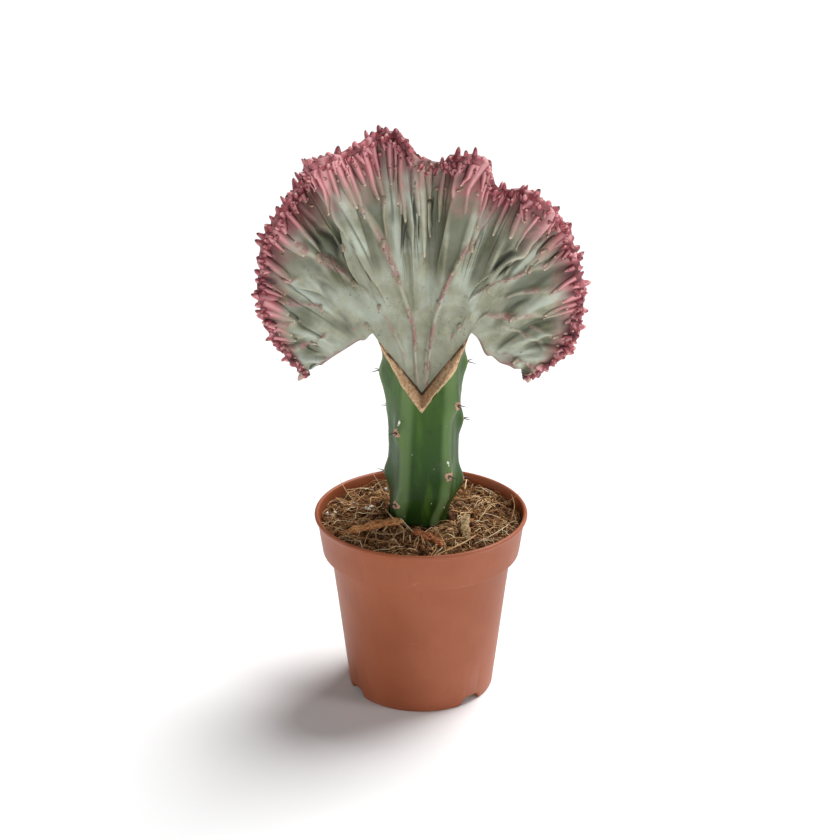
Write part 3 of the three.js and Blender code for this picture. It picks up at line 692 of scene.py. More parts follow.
def crest_skin():
    """Grey-green waxy skin with pale patches, mauve ridges, dark flecks near the graft and a rose edge.
    Painted shade darkens its dents, the pockets under its folds, its creases and the furrows between the
    pleats near the edge. Painted highlight pales its raised parts, where it also stands for the milky bloom,
    and its ridge tops, the folds' rims and the pleats' crests.
    """
    f = Finish("crest_skin")
    edge, mauve, ridge, dent, tip = map(f.value, ("edge", "mauve", "ridge", "dent", "tip"))
    blotch = f.cloud(5.5, 4, 0.6)
    grain = f.cloud(0.9, 3, 0.6)
    patchy = 0.3 + 0.55 * f.step(f.cloud(2.4, 3, 0.6), 0.4, 0.56)
    specks = f.step(f.cloud(1.3, 3, 0.7), 0.55, 0.64)
    flecks = f.step(f.cloud(1.5, 3, 0.7), 0.6, 0.68) * f.step(f.cloud(8, 2), 0.5, 0.62)
    reach = edge + 0.2 * (f.cloud(14, 2) - 0.5) + 0.16 * (blotch - 0.5) + 0.025 * ridge
    colour = f.layers(
        f.ramp(f.cloud(17, 3, 0.5, 0.5), (0.32, (128, 130, 104)), (0.5, (152, 154, 134)),
               (0.66, (178, 186, 170))),
        ((176, 174, 142), f.step(blotch, 0.5, 0.7) * 0.45),
        ((92, 96, 72), f.step(f.cloud(3.2, 4, 0.65, 0.6), 0.56, 0.72) * 0.4),
        # Painted shade in the dents, and painted highlight on the raised parts, which also stands for the
        # milky bloom.
        ((84, 88, 66), (1 - f.step(dent, -1.3, 0.1)) * 0.75),
        ((192, 202, 190), f.step(dent, 0.1, 1.5) * 0.6),
        # Painted highlight on the ridge tops and along the folds' rims, and painted shade in the pockets
        # under the folds and in the creases.
        ((200, 196, 176), f.step(ridge, 0.2, 0.9) * 0.45),
        ((204, 196, 170), f.value("lip") * 0.3),
        ((30, 32, 20), f.value("shade") * 0.95),
        ((158, 114, 110), f.step(mauve, 0.12, 0.7) * patchy),
        ((92, 50, 52), specks * f.step(mauve, 0.3, 0.75) * 0.75),
        ((58, 76, 60), flecks * (1 - f.step(edge, 0.4, 0.7)) * 0.8),
        ((140, 90, 92), f.value("rim") * (0.4 + 0.5 * f.step(blotch, 0.42, 0.6))),
        ((158, 112, 106), f.step(reach, 0.77, 0.92) * 0.65),
        ((186, 88, 99), f.step(reach, 0.88, 1.01) * 0.92),
        # Painted highlight on the pleats' crests, and painted shade in the furrows between them near the
        # edge.
        ((240, 182, 184), f.step(ridge, 0.42, 1.05) * f.step(reach, 0.86, 1.0) * 0.75),
        ((56, 12, 18), f.value("furrow") * f.step(edge, 0.81, 0.95) * 0.92),
        ((228, 206, 186), f.step(tip, 0.1, 0.6) * 0.85),
        ((104, 66, 58), f.step(tip, 0.8, 0.95) * 0.8))
    relief = f.bump(grain, 0.16, 0.7, f.bump(blotch, 0.6, 0.5))
    return f.surface(colour, 0.5 + 0.14 * grain, relief, subsurface_weight=0.03, subsurface_scale=0.0015,
                     coat_weight=0.05, coat_roughness=0.4)


def tooth_skin():
    """The crest's fleshy teeth: rose, some with cream tips and some with dark ones. Where they grow from the
    green part of a rib they are grey-green, with a cream collar and a brown point."""
    f = Finish("tooth_skin")
    along, age, rose = map(f.value, ("along", "age", "rose"))
    body = f.layers(
        f.ramp(f.cloud(2.5, 3), (0.3, (140, 58, 68)), (0.5, (186, 100, 108)), (0.68, (224, 156, 160))),
        ((110, 40, 48), f.step(age, 0.45, 0.9) * 0.6),
        ((92, 28, 38), (1 - f.step(along, 0.25, 0.5)) * 0.7))
    pale = 1 - f.step(age, 0.3, 0.5) * rose
    colour = f.layers(
        f.blend((160, 148, 128), body, rose),
        (f.blend((190, 172, 150), body, rose), f.step(along, 0.3, 0.7)),
        ((226, 190, 178), f.step(along, 0.78, 0.88) * pale * 0.6),
        ((60, 34, 30), f.step(along, 0.84, 0.92) * (1 - pale * rose) * 0.85))
    return f.surface(colour, 0.5, f.bump(f.cloud(0.6, 2), 0.15), subsurface_weight=0.04,
                     subsurface_scale=0.0015)


# ---------- pot ----------

# The inside of the pot from the band down to the middle of the floor: radius and height.
POT_INSIDE = (
    (BAND_RADIUS - WALL, BAND_FOOT + WALL), (NECK_RADIUS - WALL, BAND_FOOT),
    (FOOT_RADIUS - WALL + 0.4, FLOOR_HEIGHT), (0, FLOOR_HEIGHT),
)


def foot_gap(turn):
    """How high the foot ring is cut away at a turn: four flat-topped gaps with slanted sides."""
    cut = 0
    for middle in FOOT_GAP_TURNS:
        away = np.abs(np.mod(turn - middle + 180, 360) - 180) * np.radians(1) * FOOT_RADIUS
        rise = (FOOT_GAP_WIDTH / 2 - away) / FOOT_GAP_SLANT * FOOT_GAP_HEIGHT
        cut = np.maximum(cut, np.clip(rise, 0, FOOT_GAP_HEIGHT))
    return cut


def pot():
    """A turned wall: the profile runs from under the floor out to the foot, up the outside, over the
    rolled lip, down the inside and in across the floor, and the foot is cut away at four gaps. Round
    drain holes show the soil: the floor's underside is let in there almost as deep as the floor is thick."""
    sides = 360
    lip_turns = np.radians(np.linspace(-75, 200, 14))
    under, bead = FLOOR_HEIGHT - WALL, RIM_RADIUS - BEAD
    lip = np.stack([bead + BEAD * np.cos(lip_turns), POT_HEIGHT - BEAD + BEAD * np.sin(lip_turns)], axis=1)
    floor_rows = [(0, under), *((r, under) for r in DRAIN_RINGS), (FOOT_RADIUS - FOOT_WIDTH - 2.2, under)]
    profile = np.array([
        *floor_rows,
        (FOOT_RADIUS - FOOT_WIDTH - 1.6, FLOOR_HEIGHT - 1.9),
        (FOOT_RADIUS - FOOT_WIDTH, 0.4), (FOOT_RADIUS - FOOT_WIDTH + 0.3, 0),
        (FOOT_RADIUS - 0.7, 0), (FOOT_RADIUS - 0.2, 0.25),
        (FOOT_RADIUS + 0.1, 0.9), (FOOT_RADIUS + 0.5, 4.3),
        *((mix(FOOT_RADIUS, NECK_RADIUS, t), t * BAND_FOOT) for t in (0.35, 0.7)),
        (NECK_RADIUS, BAND_FOOT - 1.4), (NECK_RADIUS + 0.2, BAND_FOOT - 0.7),
        (NECK_RADIUS + 0.9, BAND_FOOT - 0.3), (BAND_RADIUS - 0.9, BAND_FOOT),
        (BAND_RADIUS - 0.2, BAND_FOOT + 0.4), (BAND_RADIUS, BAND_FOOT + 1.2),
        (mix(BAND_RADIUS, bead, 0.5), mix(BAND_FOOT, POT_HEIGHT, 0.5)),
        (RIM_RADIUS - 1.4 * BEAD, POT_HEIGHT - 3.4 * BEAD), (bead, POT_HEIGHT - 2.4 * BEAD),
        *lip[:-1],
        (RIM_RADIUS - 2.2 * BEAD, POT_HEIGHT - 2.6 * BEAD), (bead - WALL, POT_HEIGHT - 4 * BEAD),
        *POT_INSIDE,
    ])
    turn = turns(sides)
    radius, height = profile[:, :1], profile[:, 1:]
    foot = (radius > FOOT_RADIUS - FOOT_WIDTH - 2) & (height < FOOT_GAP_HEIGHT + 0.6)
    cut = np.where(foot, np.maximum(height, foot_gap(turn)), height)
    wobble = 1 + 0.0008 * np.sin(np.radians(3 * turn + 40)) * smoothstep(height, 0, POT_HEIGHT)
    points = around(turn, radius * wobble, cut)
    in_floor = (np.arange(len(profile)) < len(floor_rows))[:, None]
    hole = 0 * cut
    for at in around(turns(DRAIN_COUNT) + 180 / DRAIN_COUNT, DRAIN_AT, 0):
        away = np.hypot(points[..., 0] - at[0], points[..., 1] - at[1])
        on_edge = in_floor & (np.abs(away - DRAIN_RADIUS) < DRAIN_SNAP)
        pull = np.where(on_edge, DRAIN_RADIUS / np.maximum(away, 1), 1)
        points[..., :2] = mix(at[:2], points[..., :2], pull[..., None])
        hole = np.maximum(hole, (away < DRAIN_RADIUS - DRAIN_SNAP) * in_floor)
    points[..., 2] += 0.9 * WALL * hole
    faces = flipped([grid_faces(len(profile), sides, wrap_columns=True)])
    made = whole("pot_shell", pot_plastic(), "pot_plastic", points, faces, hole=hole)
    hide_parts("pot")


# ---------- substrate ----------

def soil_height(x, y):
    """Height of the coir: a mound round the stem that leans to the left, with lumps."""
    mound = bell((np.hypot(x, y) - 8) / SOIL_MOUND_RADIUS)
    lumps = (np.sin(0.42 * x + 1.1) * np.cos(0.37 * y - 0.4) +
             0.6 * np.sin(0.83 * x - 0.5 * y) * np.cos(0.71 * y + 0.9) +
             0.4 * np.sin(1.3 * x + 0.9 * y + 2))
    return SOIL_EDGE + (SOIL_MOUND - SOIL_EDGE - SOIL_LEAN * x) * mound + SOIL_LUMP * lumps


def soil_surface(x, y):
    """The soil's height with its crumbs: noise at three sizes, rounder above than below."""
    at = vectors(x, y, 0 * x)
    crumbs = 0.9 * noise(at, 4.2, 1) + 0.7 * noise(at, 2.1, 2) + 0.45 * noise(at, 1.05, 3)
    return soil_height(x, y) + crumbs - 0.3


def soil():
    """A bed of coir: rings run from the stem's hole across the top, down the pot's wall and under."""
    sectors, rings = 420, 100
    turn = turns(sectors)
    wall = RIM_RADIUS - BEAD - WALL - 4 * GAP
    share = np.linspace(0, 1, rings)[:, None]
    inner = STEM_BASE_RADIUS + GAP
    top = around(turn, mix(inner, wall, share), 0)
    top[..., 0] += STEM_BASE_X * (1 - share)
    top[..., 2] = soil_surface(top[..., 0], top[..., 1])
    top[-1, :, 2] = SOIL_EDGE - 0.5
    hole_foot = around(turn, inner, STEM_FOOT - GAP) + (STEM_BASE_X, 0, 0)
    hole_middle = 0 * hole_foot + (STEM_BASE_X, 0, STEM_FOOT - GAP)
    under = [around(turn, r - 2 * GAP, z + 2 * GAP) for r, z in POT_INSIDE]
    points = np.stack([hole_middle, hole_foot, *top, *under])
    faces = [grid_faces(len(points), sectors, wrap_columns=True)]
    made = whole("soil_bed", soil_finish(), "substrate", points, faces)
    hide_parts("substrate")


def clear_of_stem(x, y, keep):
    """Moves points out of the stem's base to keep millimetres from it."""
    dx = x - STEM_BASE_X
    r = np.maximum(np.hypot(dx, y), 1e-6)
    push = np.maximum(STEM_BASE_RADIUS + keep, r) / r
    return STEM_BASE_X + dx * push, y * push


def strands(count, seed, length, thick, lift):
    """Centres, radii and tones of strands that lie over the soil: each is an arc of random bend and
    direction, laid on the soil's own height, raised by up to lift, with its ends pressed in."""
    n = np.arange(count)
    draw = lambda k: hashed(n, k, seed)[:, None]
    t = np.linspace(-1, 1, 8)[None]
    middle = around(360 * draw(2), np.sqrt(mix(STRAND_INNER**2, STRAND_OUTER**2, draw(1))), 0)
    reach = mix(length[0], length[1], draw(4) ** 2) / 2
    angle = 2 * np.pi * draw(3) + 0.9 * (draw(5) - 0.5) * t
    x = middle[..., 0] + reach * t * np.cos(angle)
    y = middle[..., 1] + reach * t * np.sin(angle)
    pull = np.minimum(1, STRAND_LIMIT / np.hypot(x, y))
    x, y = clear_of_stem(x * pull, y * pull, 0.8)
    rise = lift * draw(6) * (1 - t**2) + 0.35
    tilt = 0.7 * lift * (draw(7) - 0.4) * t
    radii = mix(thick[0], thick[1], draw(8) ** 2) * (1 - 0.5 * np.abs(t) ** 3)
    return vectors(x, y, soil_height(x, y) + rise + tilt), radii, draw(9)


def coir():
    """Thousands of loose strands: fine brown coir, fewer coarse pale straws, and flat shreds of husk."""
    shape = Shape()
    for seed, count, length, thick, lift, tones, sides, flatness in (
            (1, 2300, (4, 17), (0.09, 0.2), 1.6, (0.05, 0.75), 3, 1.0),
            (2, 560, (8, 26), (0.14, 0.32), 3.4, (0.5, 1.0), 3, 1.0),
            (3, 260, (4, 11), (0.3, 0.75), 0.9, (0.1, 0.7), 4, 0.45)):
        centres, radii, tone = strands(count, seed, length, thick, lift)
        shape.add(*tubes(centres, radii, sides, flatness), tone=mix(tones[0], tones[1], tone)[..., None])
    shape.piece("coir_strands", fibre_finish(), "coir", smooth=False)


def pebbles(centres, sizes, seed):
    """Rough grains: each an icosahedron whose corners are drawn in and out and turned at random."""
    g = 1.618034  # the golden ratio, which places an icosahedron's corners
    corners = unit(np.array([(-1, g, 0), (1, g, 0), (-1, -g, 0), (1, -g, 0), (0, -1, g), (0, 1, g),
                             (0, -1, -g), (0, 1, -g), (g, 0, -1), (g, 0, 1), (-g, 0, -1), (-g, 0, 1)]))
    faces = np.array([(0, 11, 5), (0, 5, 1), (0, 1, 7), (0, 7, 10), (0, 10, 11), (1, 5, 9), (5, 11, 4),
                      (11, 10, 2), (10, 7, 6), (7, 1, 8), (3, 9, 4), (3, 4, 2), (3, 2, 6), (3, 6, 8),
                      (3, 8, 9), (4, 9, 5), (2, 4, 11), (6, 2, 10), (8, 6, 7), (9, 8, 1)])
    n = np.arange(len(centres))
    rough = 0.65 + 0.7 * hashed(n[:, None], np.arange(12)[None], seed)
    squash = 0.55 + 0.7 * hashed(n[:, None], np.arange(3)[None] + 20, seed)
    points = corners[None] * rough[..., None] * squash[:, None] * sizes[:, None, None]
    spin = 2 * np.pi * hashed(n, 7, seed)[:, None]
    x = points[..., 0] * np.cos(spin) - points[..., 1] * np.sin(spin)
    y = points[..., 0] * np.sin(spin) + points[..., 1] * np.cos(spin)
    points = vectors(x, y, points[..., 2]) + centres[:, None]
    return points, [(faces[None] + 12 * n[:, None, None]).reshape(-1, 3)]


def scattered(count, seed, inner, outer):
    """Random places on the soil between two radii."""
    n = np.arange(count)
    r = np.sqrt(mix(inner**2, outer**2, hashed(n, 1, seed)))
    at = around(360 * hashed(n, 2, seed), r, 0)
    at[:, 0], at[:, 1] = clear_of_stem(at[:, 0], at[:, 1], 2.2)
    at[:, 2] = soil_height(at[:, 0], at[:, 1])
    return at


def crumbs():
    """Crumbs of dark and light coir pith between the strands."""
    at = scattered(1500, 11, 16, 48.4)
    n = np.arange(len(at))
    sizes = mix(0.5, 1.7, hashed(n, 3, 11) ** 2)
    at[:, 2] += 0.3 + 0.3 * sizes
    whole("coir_crumbs", fibre_finish(), "coir", *pebbles(at, sizes, 11), smooth=False,
          tone=hashed(n, 4, 11)[:, None] * 0.7)


# White grains that show: x, y and size.
PERLITE = (
    (-46.6, 6, 1.9), (-44, 3, 1.5), (-42.5, 5.6, 1.2), (-26.5, 3.5, 2.0), (-24.5, 6.2, 1.4), (-29, 8, 1.1),
    (-33, 14, 1.3), (28, 24, 1.5), (38, 12, 1.1), (-18, 34, 1.6), (12, 38, 1.3), (34, -22, 0.9),
    (-12, -42, 0.8),
)


def perlite():
    """A few white foamed grains in the mix."""
    x, y, sizes = np.array(PERLITE).T
    grains = pebbles(vectors(x, y, soil_height(x, y) + 0.9), sizes, 5)
    whole("perlite_grains", perlite_finish(), "substrate", *grains, smooth=False)


# Long straws that stick out of the coir or lie across it: their points, then the thickness.
STRAWS = (
    (((-31, 12, 89), (-37.5, 20, 94.5), (-42, 28, 99.6)), 0.16),
    (((-17, 18, 91), (-21.5, 24, 97.5), (-26, 27, 104)), 0.13),
    (((38, 8, 88), (44.5, 12, 93), (51, 14, 97.5)), 0.15),
    (((3, -44.5, 88.6), (14, -38, 90.6), (22, -29, 90.4), (27.5, -19, 89.5)), 0.42),
    (((-17.5, -12, 99.5), (-13, -18, 96.6), (-6, -23, 91.5)), 0.22),
    (((-10.5, -19, 98.5), (-6, -22, 94.4), (0, -27, 89.6)), 0.2),
    (((12, -19.5, 93), (4, -22, 92.4), (-5, -24.5, 92)), 0.2),
    (((17.5, -18, 94.5), (21.5, -14, 97.5), (25, -11, 99.6)), 0.16),
    (((25, -30, 89), (35, -24, 91.6), (43, -14, 92.4)), 0.22),
    (((-46, -8, 88.8), (-38, -16, 90.2), (-27, -27, 89.6)), 0.2),
    (((-20, -38, 88.4), (-14, -30, 91), (-11, -22, 94)), 0.18),
    (((-46, 14, 89), (-43, 4, 91.5), (-44, -8, 91)), 0.22),
    (((44, -6, 89.6), (46.2, 4, 93.5), (45, 12, 96.6)), 0.16),
    (((40, 18, 89), (34, 8, 92), (30, -2, 91)), 0.2),
    (((-4, -46, 88.6), (-10, -38, 90.2), (-13, -28, 91.4)), 0.16),
    (((-34, -34, 88.6), (-30, -24, 91.5), (-31, -14, 92.2)), 0.17),
    (((-38, -22, 90.2), (-25, -31, 92.6), (-9, -35, 91.6)), 0.2),
    (((-22, -19, 96), (-26, -30, 93.4), (-28, -39, 89)), 0.17),
    (((6, -22, 94), (10.5, -32, 92.8), (12, -43, 88.8)), 0.2),
    (((20, -22, 93), (30, -29, 92.6), (39, -29, 89.8)), 0.24),
    (((28, -6, 94.6), (36, -15, 94), (45, -17, 90)), 0.2),
    (((-41, 10, 91), (-32, 2, 94.6), (-21, -5, 93.4)), 0.2),
    (((27, 14, 94), (35, 8, 95), (43, 6, 91.4)), 0.24),
)


def straws():
    """The long straws, each on a smooth curve and thinner towards its ends."""
    shape = Shape()
    t = np.linspace(0, 1, 16)
    for k, (route, thick) in enumerate(STRAWS):
        radii = thick * (1 - 0.75 * np.abs(2 * t - 1) ** 4)
        shape.add(*tubes(spline(route, t)[None], radii[None], 5), tone=0.55 + 0.45 * hashed(k, 3, 4))
    shape.piece("long_straws", fibre_finish(), "coir")


def husks():
    """Matted bits of husk: a flattened spindle, frayed by noise, over each of the solids."""
    finishes = (
        husk_finish("husk_orange", (128, 72, 38), (212, 144, 90), (240, 196, 142)),
        husk_finish("husk_red", (86, 44, 26), (176, 106, 68), (214, 152, 106)),
        husk_finish("husk_pale", (108, 84, 56), (176, 148, 108), (214, 192, 152)),
    )
    rings, sides = 90, 28
    along = np.linspace(0, 1, rings)[:, None] - 0.5
    angle = np.linspace(0, 2 * np.pi, sides, endpoint=False)[None]
    for k, (start, end, width, thickness) in enumerate(HUSKS):
        start, end = np.array(start, float), np.array(end, float)
        swell = np.sqrt(np.clip(1 - (2 * along) ** 4, 0, 1)) * (1 + 0.18 * np.sin(21 * along + 2 * k))
        local = vectors(along * np.linalg.norm(end - start),
                        0.5 * width * swell * np.cos(angle) + 1.2 * np.sin(5 * along),
                        0.5 * thickness * swell * np.sin(angle) - 4 * along**2)
        strand = noise(local * (0.12, 1, 1), 0.55, 30 + k) + 0.7 * noise(local * (0.3, 1, 1), 1.4, 40 + k)
        outward = vectors(0, np.cos(angle), np.sin(angle))
        local = local + 0.42 * strand[..., None] * outward * (swell[..., None] > 0.05)
        way = Vector(end - start).normalized()
        turn = np.array(Vector((1, 0, 0)).rotation_difference(way).to_matrix())
        made = whole(f"husk_mat_{k + 1}", finishes[k], "coir", local @ turn.T + (start + end) / 2,
                     tube_faces(1, rings, sides))
        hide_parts(f"coir_husk_{k + 1}")


# ---------- stem ----------

def stem_growth(z):
    """0 at the stem's collar and 1 where it has its full girth."""
    return smoothstep(z, STEM_COLLAR, STEM_COLLAR + STEM_SPREAD)


def stem_middle(z):
    """The x of the stem's middle."""
    return mix(STEM_BASE_X, STEM_X, stem_growth(z))


def rib_waves(turn, z):
    """1 on the crests of the stem's low twisted ribs and -1 between them."""
    return np.cos(np.radians(STEM_RIBS * (turn - STEM_RIB_TURN - (z - STEM_COLLAR) * STEM_TWIST)))


def stem_radius(turn, z):
    """The stem's radius: low twisted ribs, ears that reach out at the top, and the thorny bumps."""
    grow = stem_growth(z)
    radius = mix(STEM_BASE_RADIUS, STEM_RADIUS, grow) + STEM_RIB_HEIGHT * grow * rib_waves(turn, z)
    flare = sum(share * smoothstep(z, low, high) for low, high, share in FLARE)
    radius = radius + (EAR_REACH - STEM_RADIUS) * flare * np.abs(np.sin(np.radians(turn))) ** 3
    for bump_turn, bump_z in THORN_BUMPS:
        across = np.radians(np.mod(turn - bump_turn + 180, 360) - 180) * STEM_RADIUS
        away = np.hypot(across, (z - bump_z) * BUMP_STRETCH)
        radius = radius + BUMP_HEIGHT * bell(away / BUMP_WIDTH) * (z > STEM_COLLAR)
    return radius


def stem_point(turn, z):
    """A point of the stem's skin."""
    turn, z = np.asarray(turn, float), np.asarray(z, float)
    return around(turn, stem_radius(turn, z), z) + vectors(stem_middle(z), 0, 0)


def notch_height(x, y, drop=0.0):
    """Height of the cut: a V in x, which falls away in front and behind the crest's faces."""
    bevel = np.clip(np.abs(y) - NOTCH_FLAT, 0, None) * NOTCH_BEVEL / (STEM_RADIUS - NOTCH_FLAT)
    return APEX - drop + np.abs(x - APEX_X) * NOTCH_RISE / NOTCH_HALF - bevel


def stem():
    """The skin is a tube of rings whose last one runs along the V cut, found by stepping up each line of
    the skin until it meets the cut; the cut face then closes over it."""
    sides, rings, cap_rings = 320, 210, 12
    turn = turns(sides)
    drop = LINING + GAP
    top = np.full(sides, STEM_TOP)
    for _ in range(60):
        skin = stem_point(turn, top)
        top = np.clip(mix(top, notch_height(skin[:, 0], skin[:, 1], drop), 0.4), STEM_COLLAR, STEM_TOP)
    z = mix(STEM_FOOT, top, np.linspace(0, 1, rings)[:, None] ** 0.9)
    wall = stem_point(turn, z)
    skin_noise = 0.18 * noise(wall * (1, 1, 0.3), 5, 60) + 0.07 * noise(wall, 1.8, 61)
    wall = wall + (skin_noise * stem_growth(z))[..., None] * around(turn, 1.0, 0)
    wall[-1, :, 2] = top
    inward = np.linspace(0, 1, cap_rings + 1)[1:, None, None]
    cap = mix(wall[-1], np.array([APEX_X, 0, 0]), inward)
    cap[..., 2] = np.minimum(notch_height(cap[..., 0], cap[..., 1], drop), STEM_TOP)
    foot = np.broadcast_to((STEM_BASE_X, 0, STEM_FOOT), wall[:1].shape)
    points = np.concatenate([foot, wall, cap])
    x, z = points[..., 0], points[..., 2]
    band = mix(-0.5, 5.0, smoothstep(np.abs(x - APEX_X), 8, 22)) + 0.4 * noise(points, 3, 62)
    cork = np.zeros(z.shape)
    for bump in THORN_BUMPS:
        away = np.linalg.norm(points - stem_point(*bump), axis=-1)
        cork = np.maximum(cork, 1 - smoothstep(away, 1.3, 2.3))
    made = whole("stem_skin", stem_skin(), "stem_skin", points,
                 [grid_faces(len(points), sides, wrap_columns=True)],
                 height=np.clip((z - SHADE_FOOT) / SHADE_SPAN, 0, 1),
                 ridge=smoothstep(rib_waves(turn, z), 0.3, 1.0),
                 cork=cork, cut=1 - smoothstep(top - z, band, band + 0.9))
    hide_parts("rootstock")


def cushions():
    """A corky ring-shaped cushion with a small crater on each bump, and a pair of spines, long and thin."""
    cork, spines = Shape(), Shape()
    rings, sides = 9, 20
    t = np.linspace(0, 1, rings)[:, None]
    s = np.linspace(0, 1, 7)[:, None]
    angle = np.linspace(0, 2 * np.pi, sides, endpoint=False)[None]
    for k, (turn, z) in enumerate(THORN_BUMPS):
        base = stem_point(turn, z)
        out = around(turn, 1.0, 0.1)
        side = around(turn + 90, 1.0, 0)
        up = np.cross(out, side)
        rough = 1 + 0.16 * np.sin(3 * angle + k) + 0.08 * np.sin(7 * angle + 2 * k)
        size = 1 if abs(turn) < 60 else 0.6
        radius = (2.3 * size * (1 - t) + 0.02) * rough
        height = 0.8 * size * np.sin(np.pi * np.clip(t * 1.25, 0, 1)) ** 0.7 - 0.45
        points = base + (radius * np.cos(angle))[..., None] * side \
            + (radius * np.sin(angle))[..., None] * -up + (height + 0 * angle)[..., None] * out
        cork.add(points, flipped(tube_faces(1, rings, sides)), crater=smoothstep(t, 0.74, 0.92))
        for way in (-1, 1):
            apart = way * (26 + 8 * hashed(k, way + 3))
            lean = around(turn + apart, 1.0, -0.15 + 0.35 * hashed(k, way + 5))
            reach = 3.8 + 1.3 * hashed(k, way + 8)
            centres = base + lean * reach * s + side * way * 0.5 + (0, 0, -0.25) * s**2
            radii = 0.3 * (1 - s[:, 0]) ** 0.8 + 0.03
            spines.add(*tubes(centres[None], radii[None], 6), tip=s[None])
    cork.piece("thorn_cushions", cork_finish(), "callus")
    spines.piece("thorn_spines", spine_finish(), "callus")


def sap():
    """Dried sap: a few white drops under cushions and on the graft's edge."""
    shape = Shape()
    for k, (turn, z, size) in enumerate(SAP_DROPS):
        shape.add(*pebbles(stem_point(turn, z)[None], np.array([size]), 70 + k))
    shape.piece("dried_sap", latex_finish(), "callus", smooth=False)


def callus():
    """The lining of the cut: a sheet that follows the V, lumpy on top and rounded over at its edges.
    Across it runs from the back skin to the front skin; its outline is the stem's own."""
    columns, loop = 360, 44
    x = np.linspace(*LINING_ENDS, columns)
    z = APEX + np.abs(x - APEX_X) * (NOTCH_RISE / NOTCH_HALF)
    reach = np.zeros(columns)
    for turn in np.arange(0, 90, 0.5):
        for side in (-1, 1):
            skin = stem_point(side * turn, np.clip(z - NOTCH_BEVEL * 0.8, STEM_COLLAR, STEM_TOP))
            near = np.abs(skin[:, 0] - x) < 0.35
            reach = np.where(near, np.maximum(reach, -skin[:, 1]), reach)
    reach = np.maximum(reach, 1.6) + 0.15
    share = np.linspace(0, 2 * np.pi, loop, endpoint=False)[None]
    square = lambda c: np.sign(c) * np.abs(c) ** 0.45
    y = reach[:, None] * square(np.cos(share))
    thick = 0.5 * LINING * square(np.sin(share))
    points = vectors(x[:, None], y, notch_height(x[:, None], y, LINING / 2) + thick)
    outer = smoothstep(np.abs(y), NOTCH_FLAT, NOTCH_FLAT + 1.5)
    lumps = 0.35 * noise(points, 2.6, 80) + 0.16 * noise(points, 1.0, 81)
    points[..., 2] += outer * (thick > 0) * (lumps + 0.1)
    points[..., 1] += outer * np.sign(y) * 0.3 * noise(points, 3.0, 82)
    seam = 1 - smoothstep(np.abs(np.abs(y) - NOTCH_FLAT), 0.35, 1.0 + 0.7 * noise(points, 3.4, 83))
    made = whole("graft_lining", callus_finish(), "callus", points, tube_faces(1, columns, loop), seam=seam)
    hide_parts("graft_callus")


# ---------- crest ----------

# The growing edge as a fine polyline: a curve through EDGE, ruffled by noise.
EDGE_STEPS = 6001
FINE_EDGE = spline([(x, -fold, z) for x, z, fold in EDGE], np.linspace(0, 1, EDGE_STEPS))
RUFFLE = np.arange(EDGE_STEPS)[:, None] * (0.08, 0, 0)
FINE_EDGE[:, 1] += 1.5 * noise(RUFFLE, 10, 50) + 0.8 * noise(RUFFLE, 5, 51)
FINE_EDGE[:, [0, 2]] += unit(FINE_EDGE - (0, 0, 205))[:, [0, 2]] * 1.1 * noise(RUFFLE, 7, 52)[:, None]
EDGE_LENGTHS = np.concatenate([[0], np.cumsum(np.linalg.norm(np.diff(FINE_EDGE, axis=0), axis=1))])
EDGE_LENGTH = EDGE_LENGTHS[-1]


def edge_at(s):
    """The growing edge at shares s of its length."""
    length = np.clip(s, 0, 1) * EDGE_LENGTH
    return np.stack([np.interp(length, EDGE_LENGTHS, FINE_EDGE[:, k]) for k in range(3)], axis=-1)


def crest_root(share):
    """Where a growth line starts: up the V to the neck, then down the underside of the side lobe."""
    far = np.abs(share)[..., None]
    side = np.where(share < 0, -1.0, 1.0)[..., None]
    start = np.array([APEX_X, 0, APEX + 1.6 * GAP])
    neck = start + side * (NOTCH_HALF, 0, 0) + (0, 0, NOTCH_RISE)
    foot = np.where(side < 0, *(np.array([x, 0, z]) for x, z in (LOBE_FOOT_LEFT, LOBE_FOOT_RIGHT)))
    lobe = mix(neck, foot, (far - NECK_SHARE) / (1 - NECK_SHARE))
    for place, drop, wide, which in UNDERSIDE:
        lobe[..., 2] -= drop * bell((far[..., 0] - place) / wide) * (side[..., 0] == which)
    return np.where(far < NECK_SHARE, mix(start, neck, far / NECK_SHARE), lobe)


def beside(line, s, v):
    """Millimetres along the crest from a line of (place, share) points, towards the right tip."""
    places, shares = zip(*line)
    return (s - np.interp(v, places, shares)) * EDGE_LENGTH * (0.25 + 0.75 * v)


def stretch(line, v, before, after, early, late):
    """1 along a line's own stretch from graft to edge and 0 outside: it rises from `before` its first place
    to `after` it, and falls from `early` ahead of its last place to `late` past it."""
    first, last = line[0][0], line[-1][0]
    return smoothstep(v, first - before, first + after) * (1 - smoothstep(v, last - early, last + late))


